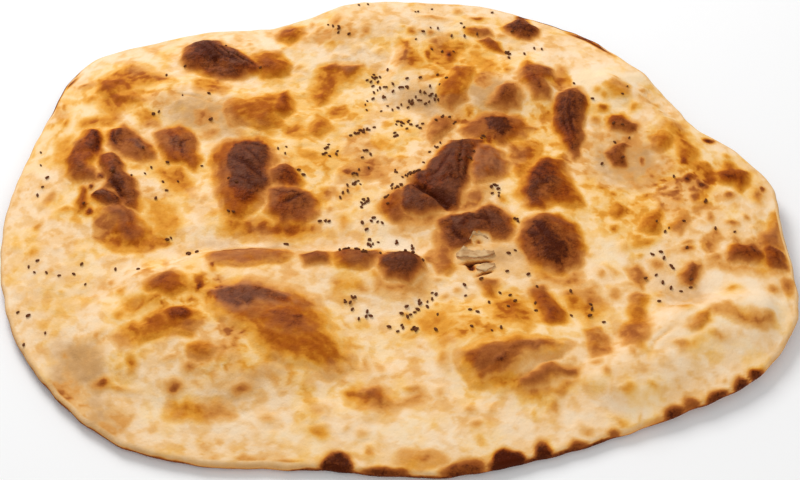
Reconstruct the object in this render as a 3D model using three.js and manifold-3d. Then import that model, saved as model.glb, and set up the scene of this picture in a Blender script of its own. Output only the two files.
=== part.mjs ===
// A large Yemeni flatbread, baked against the wall of a clay oven: one piece of bread, puffed in
// places, blistered all over its top and sprinkled with nigella seeds.
// Millimetres, +Z up, the table at z = 0. Bearings are degrees anticlockwise from +X, seen from above.
import * as THREE from 'three';
import { mergeVertices } from 'three/addons/utils/BufferGeometryUtils.js';
import { ImprovedNoise } from 'three/addons/math/ImprovedNoise.js';
import Module from 'manifold-3d';

// ---------------------------------------------------------------- driving dimensions

const CRUMB = 7.5; // thickness of the bread between its puffs
const EDGE = 4.8; // thickness of the rim, which is rounded over
const TAPER = 30; // width of the band that thins from CRUMB to EDGE
const LIFT_START = 0.5; // share of the way out at which the bread starts to leave the table
const UNEVEN = 0.5; // height of the low unevenness of the crust
const UNEVEN_SPAN = 17; // width of one of its rises
const SEED = { long: 2.2, wide: 1.3, vary: 0.22, sunk: 0.2 }; // a nigella seed, and how deep it sits
const SEEDS_SHOWN = 96; // the largest of the seeds, which show from a step away
const SEED_START = 4711; // picks the fall of the seeds, the same in every run
const MIDDLE = [-0.6, -6.3]; // middle of the box round the outline, which is moved to the origin

// How far the rim reaches from the bread's waist: [bearing, mm].
const REACH = [
  [0, 198], [8, 187], [15, 173], [25, 171], [36, 169], [48, 173], [60, 171], [72, 169],
  [85, 161], [97, 158], [110, 156], [118, 159], [128, 175], [138, 190], [147, 207], [153, 208],
  [163, 201], [172, 199], [188, 200], [205, 202], [220, 201], [232, 198], [242, 189], [252, 178],
  [262, 172], [276, 175], [292, 177], [303, 182], [313, 192], [323, 205], [335, 211], [343, 205],
  [351, 199],
];

// How far the rim curls up off the table: [bearing, mm].
const RISE = [
  [0, 7], [15, 8], [25, 7], [33, 12], [45, 9], [60, 8], [75, 10], [90, 14], [100, 15], [110, 10],
  [120, 7], [130, 7], [145, 6], [160, 5], [180, 3], [200, 2], [220, 1], [240, 0.4], [262, 0],
  [280, 0.8], [300, 0], [315, 2], [330, 3], [345, 6],
];

// Where steam lifted the upper crust in broad puffs, and where it sagged (a negative height).
// [x, y, half length, half width, turn of the length in degrees, height, flatness of the crown]
const PUFFS = [
  [-80, -98, 80, 48, -3, 9, 3], // the big puff at the front left
  [55, -108, 52, 34, -15, 7, 2.4], // its neighbour at the front right
  [-150, 5, 58, 32, 110, 4, 2], // under the long blisters on the left
  [-72, 2, 52, 34, 60, 3, 2],
  [25, 3, 55, 40, 45, 4, 2],
  [78, -15, 46, 26, 95, 3, 2],
  [128, 15, 52, 26, 100, -3.5, 2], // the hollow on the right
  [130, -62, 46, 22, -35, -3, 2],
  [-12, -100, 34, 14, -50, -1.5, 2], // the valley between the two front puffs
];

// Long creases, each a run of points with a slope on its left and on its right as it is walked.
const CREASES = [
  { run: [[-131, -72], [-87, -55], [-50, -54], [4, -57], [20, -62]], left: 17, right: 30, high: 5 },
  { run: [[88, -138], [100, -123], [134, -93], [154, -86], [186, -86]], left: 15, right: 36, high: 6 },
  { run: [[-140, 84], [-109, 73], [-60, 58]], left: 24, right: 28, high: 4 },
  { run: [[-8, 100], [21, 88], [48, 79], [96, 82]], left: 38, right: 26, high: 6 },
  { run: [[-120, -40], [-40, -36], [24, -38]], left: 14, right: 14, high: -1.5 },
  { run: [[112, 88], [136, 70], [158, 36]], left: 9, right: 12, high: 3 },
];

const CREASE_END = 12; // length over which a crease sinks towards each of its ends
const CREASE_LOW = 0.15; // share of its height that is left at the very end

// The blisters that stand up from the crust, by region of the bread.
// [x, y, half length, half width, turn of the length in degrees, height]
const BLISTERS = [
  // back left
  [-110, 112, 16, 14, 0, 4.9], [-92, 106, 20, 10, -33, 3.8], [-71, 103, 15, 10, -20, 2.8],
  [-62, 130, 9, 8, 0, 1.8], [-158, 82, 14, 11, 80, 1.8], [-86, 64, 16, 11, 20, 1.8],
  [-62, 70, 13, 8, 70, 2.1], [-32, 94, 16, 11, 45, 1.8],
  // left
  [-163, 33, 14, 8, 78, 3.1], [-165, 15, 13, 9, 110, 2.8], [-150, 41, 9, 8, 0, 3.1],
  [-138, 31, 11, 7, -35, 2.8], [-144, 6, 25, 8, -58, 3.1], [-147, -10, 10, 6, -30, 2.4],
  [-135, -26, 21, 10, -50, 2.1], [-117, 34, 18, 12, -65, 2.8],
  // middle
  [-79, 24, 18, 16, 0, 4.5], [-80, 0, 22, 13, 90, 3.5], [-58, 13, 10, 9, 0, 2.8],
  [-54, -11, 16, 13, 60, 3.1], [-24, 13, 9, 8, 0, 1.4], [24, 51, 14, 8, 65, 2.1],
  [55, 50, 19, 13, 15, 3.8], [33, 20, 22, 12, 75, 4.5], [49, 20, 15, 12, 60, 3.8],
  [11, -12, 19, 12, -25, 3.8], [42, -26, 19, 13, 12, 3.8],
  // crest of the front left puff
  [-70, -50, 20, 7, 0, 1.8], [-37, -54, 8, 6, 0, 1.8], [-18, -53, 11, 7, 0, 1.8],
  [5, -58, 12, 10, 0, 3.5], [-52, -94, 40, 19, -32, 1.8], [-101, -96, 12, 7, 0, 2.1],
  // right of the middle
  [80, 8, 21, 12, 75, 4.2], [77, -38, 23, 13, 95, 4.5], [74, -81, 12, 7, 95, 2.1],
  [50, -117, 19, 11, 0, 2.1], [97, 55, 29, 10, 82, 3.8], [80, 86, 17, 9, -65, 2.8],
  [65, 76, 9, 8, 40, 2.8], [34, 84, 18, 11, 70, 1.8], [76, 137, 11, 10, 0, 3.5],
  // right
  [124, 50, 9, 6, -25, 2.4], [122, 28, 10, 6, 50, 2.4], [145, 33, 7, 6, 0, 1.4],
  [176, 5, 12, 8, 0, 2.1], [173, -50, 11, 7, 0, 2.4], [187, -51, 8, 8, 0, 2.1],
  [131, -26, 9, 7, 60, 1.8], [145, -60, 9, 5, 60, 2.1],
];

const BLISTER_CROWN = 2.6; // flatness of a blister's crown
const PUFF_FADE = 16; // how far in from the rim the puffs reach their full height
const BLISTER_FADE = 7; // the same for the blisters

// Where the seeds fell: [x, y, half length, half width, turn in degrees, how many].
const SEED_FALLS = [
  [-8, 95, 9, 4, 60, 9], [12, 79, 16, 5, -20, 18], [-4, 71, 16, 8, 0, 14], [6, 84, 26, 16, 0, 16],
  [-17, 49, 9, 1.5, 28, 12], [-34, 31, 8, 4, 80, 8], [-60, 31, 6, 3, 60, 3], [-16, 30, 5, 4, 0, 4],
  [-19, 16, 8, 4, 0, 5], [-46, 13, 7, 2, -20, 2], [-24, 0, 11, 5, 60, 10], [-35, -23, 3, 2, 0, 4],
  [-14, -11, 8, 3, 85, 8], [-11, -25, 7, 5, 0, 8], [-11, -36, 4, 3, 0, 8], [-54, -37, 2, 1, 0, 2],
  [2, 51, 7, 3, 80, 9], [12, 54, 7, 6, 0, 8], [21, 29, 12, 2, 65, 5], [1, 14, 4, 3, 0, 3],
  [10, 11, 6, 1.5, 20, 12], [2, 2, 3, 3, 0, 8], [-3, -11, 9, 2, 80, 4], [8, -44, 12, 5, -60, 8],
  [54, 0, 9, 3, 95, 8], [62, -22, 3, 2, 0, 3], [60, -44, 4, 2, 0, 2], [38, 22, 14, 5, 80, 6],
  [50, 41, 3, 2, 0, 3], [29, 59, 9, 5, 0, 6], [-18, -47, 14, 4, 0, 12], [-16, -83, 9, 8, 0, 12],
  [12, -81, 14, 4, 40, 16], [4, -94, 9, 6, 0, 8], [-35, 131, 12, 4, -20, 6], [30, 128, 22, 14, 0, 12],
  [78, 118, 22, 16, 0, 8], [130, -62, 18, 18, 60, 14], [55, -68, 24, 12, 0, 10],
  [85, -84, 18, 14, 0, 8], [40, -90, 26, 12, 0, 8], [-132, 58, 8, 4, -60, 3], [-100, 56, 4, 2, 0, 2],
  [-186, 20, 5, 26, 0, 5], [-120, 20, 22, 24, 0, 8], [-100, -43, 3, 4, 0, 5], [-110, -35, 6, 2, 0, 2],
  [-85, -10, 10, 20, 0, 4], [-150, -54, 36, 10, 0, 8], [-140, 2, 28, 28, 0, 4],
  [-160, -85, 20, 26, 20, 6], [-100, 95, 44, 24, 0, 8], [115, 55, 22, 34, 0, 10],
  [150, -15, 30, 30, 0, 10], [20, 150, 60, 8, 0, 6],
];

// How finely the bread is cut into faces.
const DETAIL = 18; // cuts along each edge of the twenty-sided ball of dough
const RIM_AT = 143; // degrees from the top of the ball at which the rim lies
const RIM_BAND = 6.4; // degrees of the ball that turn under round the rim

// ---------------------------------------------------------------- helpers

const radians = THREE.MathUtils.degToRad;
const noise = new ImprovedNoise();

// Eases from 0 to 1 as t does.
function ease(t) {
  return THREE.MathUtils.smoothstep(t, 0, 1);
}

// Reads a table of [bearing, value] as a smooth closed curve.
function around(table, bearing) {
  const count = table.length;
  const at = (i) => table[(i + count) % count][0] + 360 * Math.floor(i / count);
  const value = (i) => table[(i + count) % count][1];
  const turn = THREE.MathUtils.euclideanModulo(bearing - table[0][0], 360) + table[0][0];
  let i = 0;
  while (at(i + 1) <= turn) i += 1;
  const span = at(i + 1) - at(i);
  const t = (turn - at(i)) / span;
  const slopeIn = ((value(i + 1) - value(i - 1)) / (at(i + 1) - at(i - 1))) * span;
  const slopeOut = ((value(i + 2) - value(i)) / (at(i + 2) - at(i))) * span;
  return (
    (2 * t ** 3 - 3 * t ** 2 + 1) * value(i) + (t ** 3 - 2 * t ** 2 + t) * slopeIn
    + (3 * t ** 2 - 2 * t ** 3) * value(i + 1) + (t ** 3 - t ** 2) * slopeOut
  );
}

// A rounded rise: 1 in the middle of a turned oval, 0 from its edge outwards.
function swell(x, y, [cx, cy, long, wide, turn, , flatness = BLISTER_CROWN]) {
  const cos = Math.cos(radians(turn));
  const sin = Math.sin(radians(turn));
  const along = ((x - cx) * cos + (y - cy) * sin) / long;
  const across = ((y - cy) * cos - (x - cx) * sin) / wide;
  const out = Math.min(1, Math.hypot(along, across));
  return (1 - out ** flatness) ** 2;
}

// A long rise along a run of points: 1 on the run, 0 at its slopes' feet, low at both ends.
function crease(x, y, { run, left, right }) {
  let nearest = Infinity;
  let width = left;
  let walked = 0;
  let place = 0;
  for (let i = 1; i < run.length; i += 1) {
    const [ax, ay] = run[i - 1];
    const step = Math.hypot(run[i][0] - ax, run[i][1] - ay);
    const ux = (run[i][0] - ax) / step;
    const uy = (run[i][1] - ay) / step;
    const along = THREE.MathUtils.clamp((x - ax) * ux + (y - ay) * uy, 0, step);
    const away = Math.hypot(x - ax - ux * along, y - ay - uy * along);
    if (away < nearest) {
      nearest = away;
      width = ux * (y - ay) - uy * (x - ax) > 0 ? left : right;
      place = walked + along;
    }
    walked += step;
  }
  const full = ease(place / CREASE_END) * ease((walked - place) / CREASE_END);
  const ends = CREASE_LOW + (1 - CREASE_LOW) * full;
  return ends * (1 - Math.min(1, nearest / width) ** 2) ** 2;
}

// ---------------------------------------------------------------- the bread's two faces

// What the rim does on the bearing of a point, and how far out the point is.
function rimBeyond(x, y) {
  const bearing = THREE.MathUtils.radToDeg(Math.atan2(y, x));
  const reach = around(REACH, bearing);
  return { reach, out: Math.hypot(x, y), rise: Math.max(0, around(RISE, bearing)) };
}

// Height of the underside: flat on the table in the middle, lifted towards the rim.
function underside(x, y) {
  const { reach, out, rise } = rimBeyond(x, y);
  return rise * ease((out / reach - LIFT_START) / (1 - LIFT_START));
}

// Height of the upper crust.
function topside(x, y) {
  const { reach, out } = rimBeyond(x, y);
  const inward = reach - out;
  let broad = UNEVEN * noise.noise(x / UNEVEN_SPAN, y / UNEVEN_SPAN, 0);
  for (const puff of PUFFS) broad += puff[5] * swell(x, y, puff);
  for (const fold of CREASES) broad += fold.high * crease(x, y, fold);
  let fine = 0;
  for (const blister of BLISTERS) fine = Math.max(fine, blister[5] * swell(x, y, blister));
  const thick = EDGE + (CRUMB - EDGE) * ease(inward / TAPER);
  return (
    underside(x, y) + thick + broad * ease(inward / PUFF_FADE) + fine * ease(inward / BLISTER_FADE)
  );
}

// ---------------------------------------------------------------- the dough, pressed flat

// Takes a point of a ball to its place on the bread: the ball's upper part spreads over the top,
// a narrow band turns under round the rim, and the rest is the underside. The spread keeps the
// areas even, so the faces come out alike.
function press(x, y, z) {
  const fromTop = Math.acos(THREE.MathUtils.clamp(z, -1, 1));
  const way = Math.atan2(y, x);
  const flank = around(REACH, THREE.MathUtils.radToDeg(way)) - EDGE / 2; // where the rounding starts
  const start = radians(RIM_AT - RIM_BAND / 2);
  const end = radians(RIM_AT + RIM_BAND / 2);
  const on = (out) => [out * Math.cos(way), out * Math.sin(way)];
  if (fromTop <= start) {
    const [px, py] = on((flank * Math.sin(fromTop / 2)) / Math.sin(start / 2));
    return [px, py, topside(px, py)];
  }
  if (fromTop >= end) {
    const [px, py] = on((flank * Math.cos(fromTop / 2)) / Math.cos(end / 2));
    return [px, py, underside(px, py)];
  }
  const rounding = (Math.PI * (fromTop - start)) / (end - start);
  const low = underside(...on(flank));
  return [...on(flank + (EDGE / 2) * Math.sin(rounding)), low + (EDGE / 2) * (1 + Math.cos(rounding))];
}

function breadShape() {
  const ball = new THREE.IcosahedronGeometry(1, DETAIL);
  ball.deleteAttribute('normal');
  ball.deleteAttribute('uv');
  const dough = mergeVertices(ball);
  const points = dough.getAttribute('position');
  for (let i = 0; i < points.count; i += 1) {
    points.setXYZ(i, ...press(points.getX(i), points.getY(i), points.getZ(i)));
  }
  return dough;
}

// ---------------------------------------------------------------- the seeds

// Seeded random numbers from 0 to 1, the same in every run.
function randomFrom(start) {
  let state = start;
  return () => {
    state = (state * 16807) % 2147483647;
    return state / 2147483647;
  };
}

// Every seed that fell on the bread, the largest first.
function seedFall() {
  const random = randomFrom(SEED_START);
  const seeds = [];
  for (const [x, y, long, wide, turn, count] of SEED_FALLS) {
    for (let i = 0; i < count; i += 1) {
      const out = Math.sqrt(random());
      const way = 2 * Math.PI * random();
      const along = long * out * Math.cos(way);
      const across = wide * out * Math.sin(way);
      seeds.push({
        x: x + along * Math.cos(radians(turn)) - across * Math.sin(radians(turn)),
        y: y + along * Math.sin(radians(turn)) + across * Math.cos(radians(turn)),
        size: 1 + SEED.vary * (2 * random() - 1),
        heading: Math.PI * random(),
      });
    }
  }
  return seeds.sort((a, b) => b.size - a.size);
}

// One seed, lying on the crust below it and sunk a little way in.
function seedShape(seed, crust) {
  const CLEAR_OF_CRUST = 100;
  const above = new THREE.Vector3(seed.x, seed.y, CLEAR_OF_CRUST);
  const landing = new THREE.Raycaster(above, new THREE.Vector3(0, 0, -1)).intersectObject(crust)[0];
  const shape = new THREE.OctahedronGeometry(1, 0);
  shape.deleteAttribute('normal');
  shape.deleteAttribute('uv');
  const long = (SEED.long / 2) * seed.size;
  const wide = (SEED.wide / 2) * seed.size;
  shape.scale(long, wide, wide);
  shape.rotateZ(seed.heading);
  const lean = new THREE.Quaternion();
  lean.setFromUnitVectors(new THREE.Vector3(0, 0, 1), landing.face.normal);
  shape.applyQuaternion(lean);
  const { x, y, z } = landing.point.addScaledVector(landing.face.normal, wide - SEED.sunk * SEED.wide);
  shape.translate(x, y, z);
  return mergeVertices(shape);
}

// ---------------------------------------------------------------- fusing bread and seeds

const wasm = await Module();
wasm.setup();

function solid(geometry) {
  const mesh = new wasm.Mesh({
    numProp: 3,
    vertProperties: new Float32Array(geometry.getAttribute('position').array),
    triVerts: new Uint32Array(geometry.getIndex().array),
  });
  return new wasm.Manifold(mesh);
}

function geometryOf(manifold) {
  const mesh = manifold.getMesh();
  const geometry = new THREE.BufferGeometry();
  geometry.setAttribute('position', new THREE.BufferAttribute(mesh.vertProperties, 3));
  geometry.setIndex(new THREE.BufferAttribute(mesh.triVerts, 1));
  geometry.computeVertexNormals();
  return geometry;
}

function breadWithSeeds() {
  const shape = breadShape();
  const crust = new THREE.Mesh(shape);
  let whole = solid(shape);
  for (const seed of seedFall().slice(0, SEEDS_SHOWN)) whole = whole.add(solid(seedShape(seed, crust)));
  const geometry = geometryOf(whole);
  geometry.translate(-MIDDLE[0], -MIDDLE[1], 0);
  return geometry;
}

// ---------------------------------------------------------------- the model

const bakedCrust = new THREE.MeshStandardMaterial({ color: 0xe6b878, roughness: 0.75, metalness: 0 });

const bread = new THREE.Mesh(breadWithSeeds(), bakedCrust);
bread.name = 'bread';

const flatbread = new THREE.Group();
flatbread.add(bread);

export default flatbread;
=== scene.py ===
# A large Yemeni flatbread on a pale table, dressed over the frame of its CAD part.
#
# The crust is a ball of dough pressed flat by the same named sizes as the CAD part's. Its
# blisters are crisper here, with wrinkles and pores, and each of its points knows how far it
# has browned. The nigella seeds lie where the same seeded rule drops them.
#
# Sizes in the tables are millimetres on the bread seen from above, and bearings are degrees
# anticlockwise from +X. The meshes are in metres.
import math

import bmesh
import bpy
import numpy as np
from mathutils import Matrix, Vector


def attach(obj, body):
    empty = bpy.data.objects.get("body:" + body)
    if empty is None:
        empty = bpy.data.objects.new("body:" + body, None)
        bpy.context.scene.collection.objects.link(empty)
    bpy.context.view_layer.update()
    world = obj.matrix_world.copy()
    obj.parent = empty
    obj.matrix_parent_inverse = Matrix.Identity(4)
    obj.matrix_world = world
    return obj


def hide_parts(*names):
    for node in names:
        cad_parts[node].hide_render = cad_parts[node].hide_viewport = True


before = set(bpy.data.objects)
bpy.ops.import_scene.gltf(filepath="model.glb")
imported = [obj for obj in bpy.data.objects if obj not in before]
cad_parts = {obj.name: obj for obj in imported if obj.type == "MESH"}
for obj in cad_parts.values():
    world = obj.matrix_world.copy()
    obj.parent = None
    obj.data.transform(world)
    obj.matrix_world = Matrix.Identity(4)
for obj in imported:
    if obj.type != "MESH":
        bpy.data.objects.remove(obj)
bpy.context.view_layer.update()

MM = 0.001

# ---------------------------------------------------------------- the CAD part's own sizes

CRUMB = 7.5  # thickness of the bread between its puffs
EDGE = 4.8  # thickness of the rim, which is rounded over
TAPER = 30.0  # width of the band that thins from CRUMB to EDGE
LIFT_START = 0.5  # share of the way out at which the bread starts to leave the table
UNEVEN = 0.5  # height of the low unevenness of the crust
UNEVEN_SPAN = 17.0  # width of one of its rises
PUFF_FADE = 16.0  # how far in from the rim the puffs reach their full height
BLISTER_FADE = 7.0  # the same for the blisters
SEED_LONG = 2.2  # length of a nigella seed
SEED_WIDE = 1.3
SEED_VARY = 0.22  # how much longer or shorter than that one can be, as a share
SEED_SUNK = 0.2  # share of its width that sits in the crust
MIDDLE = (-0.6, -6.3)  # middle of the box round the outline, which is moved to the origin

# How far the rim reaches from the bread's waist: (bearing, mm).
REACH = [
    (0, 198), (8, 187), (15, 173), (25, 171), (36, 169), (48, 173), (60, 171), (72, 169),
    (85, 161), (97, 158), (110, 156), (118, 159), (128, 175), (138, 190), (147, 207), (153, 208),
    (163, 201), (172, 199), (188, 200), (205, 202), (220, 201), (232, 198), (242, 189),
    (252, 178), (262, 172), (276, 175), (292, 177), (303, 182), (313, 192), (323, 205),
    (335, 211), (343, 205), (351, 199),
]

# How far the rim curls up off the table: (bearing, mm).
RISE = [
    (0, 7), (15, 8), (25, 7), (33, 12), (45, 9), (60, 8), (75, 10), (90, 14), (100, 15),
    (110, 10), (120, 7), (130, 7), (145, 6), (160, 5), (180, 3), (200, 2), (220, 1), (240, 0.4),
    (262, 0), (280, 0.8), (300, 0), (315, 2), (330, 3), (345, 6),
]

# Broad puffs and sags: (x, y, half length, half width, turn, height, flatness of the crown).
PUFFS = [
    (-80, -98, 80, 48, -3, 9, 3),
    (55, -108, 52, 34, -15, 7, 2.4),
    (-150, 5, 58, 32, 110, 4, 2),
    (-72, 2, 52, 34, 60, 3, 2),
    (25, 3, 55, 40, 45, 4, 2),
    (78, -15, 46, 26, 95, 3, 2),
    (128, 15, 52, 26, 100, -3.5, 2),
    (130, -62, 46, 22, -35, -3, 2),
    (-12, -100, 34, 14, -50, -1.5, 2),
]

# Long creases: run of points, width of its left slope, of its right slope, height.
CREASES = [
    ([(-131, -72), (-87, -55), (-50, -54), (4, -57), (20, -62)], 17, 30, 5),
    ([(88, -138), (100, -123), (134, -93), (154, -86), (186, -86)], 15, 36, 6),
    ([(-140, 84), (-109, 73), (-60, 58)], 24, 28, 4),
    ([(-8, 100), (21, 88), (48, 79), (96, 82)], 38, 26, 6),
    ([(-120, -40), (-40, -36), (24, -38)], 14, 14, -1.5),
    ([(112, 88), (136, 70), (158, 36)], 9, 12, 3),
]

# Blisters that stand up from the crust: (x, y, half length, half width, turn, height).
BLISTERS = [
    # back left
    (-110, 112, 16, 14, 0, 4.9), (-92, 106, 20, 10, -33, 3.8), (-71, 103, 15, 10, -20, 2.8),
    (-62, 130, 9, 8, 0, 1.8), (-158, 82, 14, 11, 80, 1.8), (-86, 64, 16, 11, 20, 1.8),
    (-62, 70, 13, 8, 70, 2.1), (-32, 94, 16, 11, 45, 1.8),
    # left
    (-163, 33, 14, 8, 78, 3.1), (-165, 15, 13, 9, 110, 2.8), (-150, 41, 9, 8, 0, 3.1),
    (-138, 31, 11, 7, -35, 2.8), (-144, 6, 25, 8, -58, 3.1), (-147, -10, 10, 6, -30, 2.4),
    (-135, -26, 21, 10, -50, 2.1), (-117, 34, 18, 12, -65, 2.8),
    # middle
    (-79, 24, 18, 16, 0, 4.5), (-80, 0, 22, 13, 90, 3.5), (-58, 13, 10, 9, 0, 2.8),
    (-54, -11, 16, 13, 60, 3.1), (-24, 13, 9, 8, 0, 1.4), (24, 51, 14, 8, 65, 2.1),
    (55, 50, 19, 13, 15, 3.8), (33, 20, 22, 12, 75, 4.5), (49, 20, 15, 12, 60, 3.8),
    (11, -12, 19, 12, -25, 3.8), (42, -26, 19, 13, 12, 3.8),
    # crest of the front left puff
    (-70, -50, 20, 7, 0, 1.8), (-37, -54, 8, 6, 0, 1.8), (-18, -53, 11, 7, 0, 1.8),
    (5, -58, 12, 10, 0, 3.5), (-52, -94, 40, 19, -32, 1.8), (-101, -96, 12, 7, 0, 2.1),
    # right of the middle
    (80, 8, 21, 12, 75, 4.2), (77, -38, 23, 13, 95, 4.5), (74, -81, 12, 7, 95, 2.1),
    (50, -117, 19, 11, 0, 2.1), (97, 55, 29, 10, 82, 3.8), (80, 86, 17, 9, -65, 2.8),
    (65, 76, 9, 8, 40, 2.8), (34, 84, 18, 11, 70, 1.8), (76, 137, 11, 10, 0, 3.5),
    # right
    (124, 50, 9, 6, -25, 2.4), (122, 28, 10, 6, 50, 2.4), (145, 33, 7, 6, 0, 1.4),
    (176, 5, 12, 8, 0, 2.1), (173, -50, 11, 7, 0, 2.4), (187, -51, 8, 8, 0, 2.1),
    (131, -26, 9, 7, 60, 1.8), (145, -60, 9, 5, 60, 2.1),
]

# Where the seeds fell: (x, y, half length, half width, turn, how many).
SEED_FALLS = [
    (-8, 95, 9, 4, 60, 9), (12, 79, 16, 5, -20, 18), (-4, 71, 16, 8, 0, 14),
    (6, 84, 26, 16, 0, 16), (-17, 49, 9, 1.5, 28, 12), (-34, 31, 8, 4, 80, 8),
    (-60, 31, 6, 3, 60, 3), (-16, 30, 5, 4, 0, 4), (-19, 16, 8, 4, 0, 5), (-46, 13, 7, 2, -20, 2),
    (-24, 0, 11, 5, 60, 10), (-35, -23, 3, 2, 0, 4), (-14, -11, 8, 3, 85, 8),
    (-11, -25, 7, 5, 0, 8), (-11, -36, 4, 3, 0, 8), (-54, -37, 2, 1, 0, 2), (2, 51, 7, 3, 80, 9),
    (12, 54, 7, 6, 0, 8), (21, 29, 12, 2, 65, 5), (1, 14, 4, 3, 0, 3), (10, 11, 6, 1.5, 20, 12),
    (2, 2, 3, 3, 0, 8), (-3, -11, 9, 2, 80, 4), (8, -44, 12, 5, -60, 8), (54, 0, 9, 3, 95, 8),
    (62, -22, 3, 2, 0, 3), (60, -44, 4, 2, 0, 2), (38, 22, 14, 5, 80, 6), (50, 41, 3, 2, 0, 3),
    (29, 59, 9, 5, 0, 6), (-18, -47, 14, 4, 0, 12), (-16, -83, 9, 8, 0, 12),
    (12, -81, 14, 4, 40, 16), (4, -94, 9, 6, 0, 8), (-35, 131, 12, 4, -20, 6),
    (30, 128, 22, 14, 0, 12), (78, 118, 22, 16, 0, 8), (130, -62, 18, 18, 60, 14),
    (55, -68, 24, 12, 0, 10), (85, -84, 18, 14, 0, 8), (40, -90, 26, 12, 0, 8),
    (-132, 58, 8, 4, -60, 3), (-100, 56, 4, 2, 0, 2), (-186, 20, 5, 26, 0, 5),
    (-120, 20, 22, 24, 0, 8), (-100, -43, 3, 4, 0, 5), (-110, -35, 6, 2, 0, 2),
    (-85, -10, 10, 20, 0, 4), (-150, -54, 36, 10, 0, 8), (-140, 2, 28, 28, 0, 4),
    (-160, -85, 20, 26, 20, 6), (-100, 95, 44, 24, 0, 8), (115, 55, 22, 34, 0, 10),
    (150, -15, 30, 30, 0, 10), (20, 150, 60, 8, 0, 6),
]

# ---------------------------------------------------------------- what only the scene adds

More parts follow.
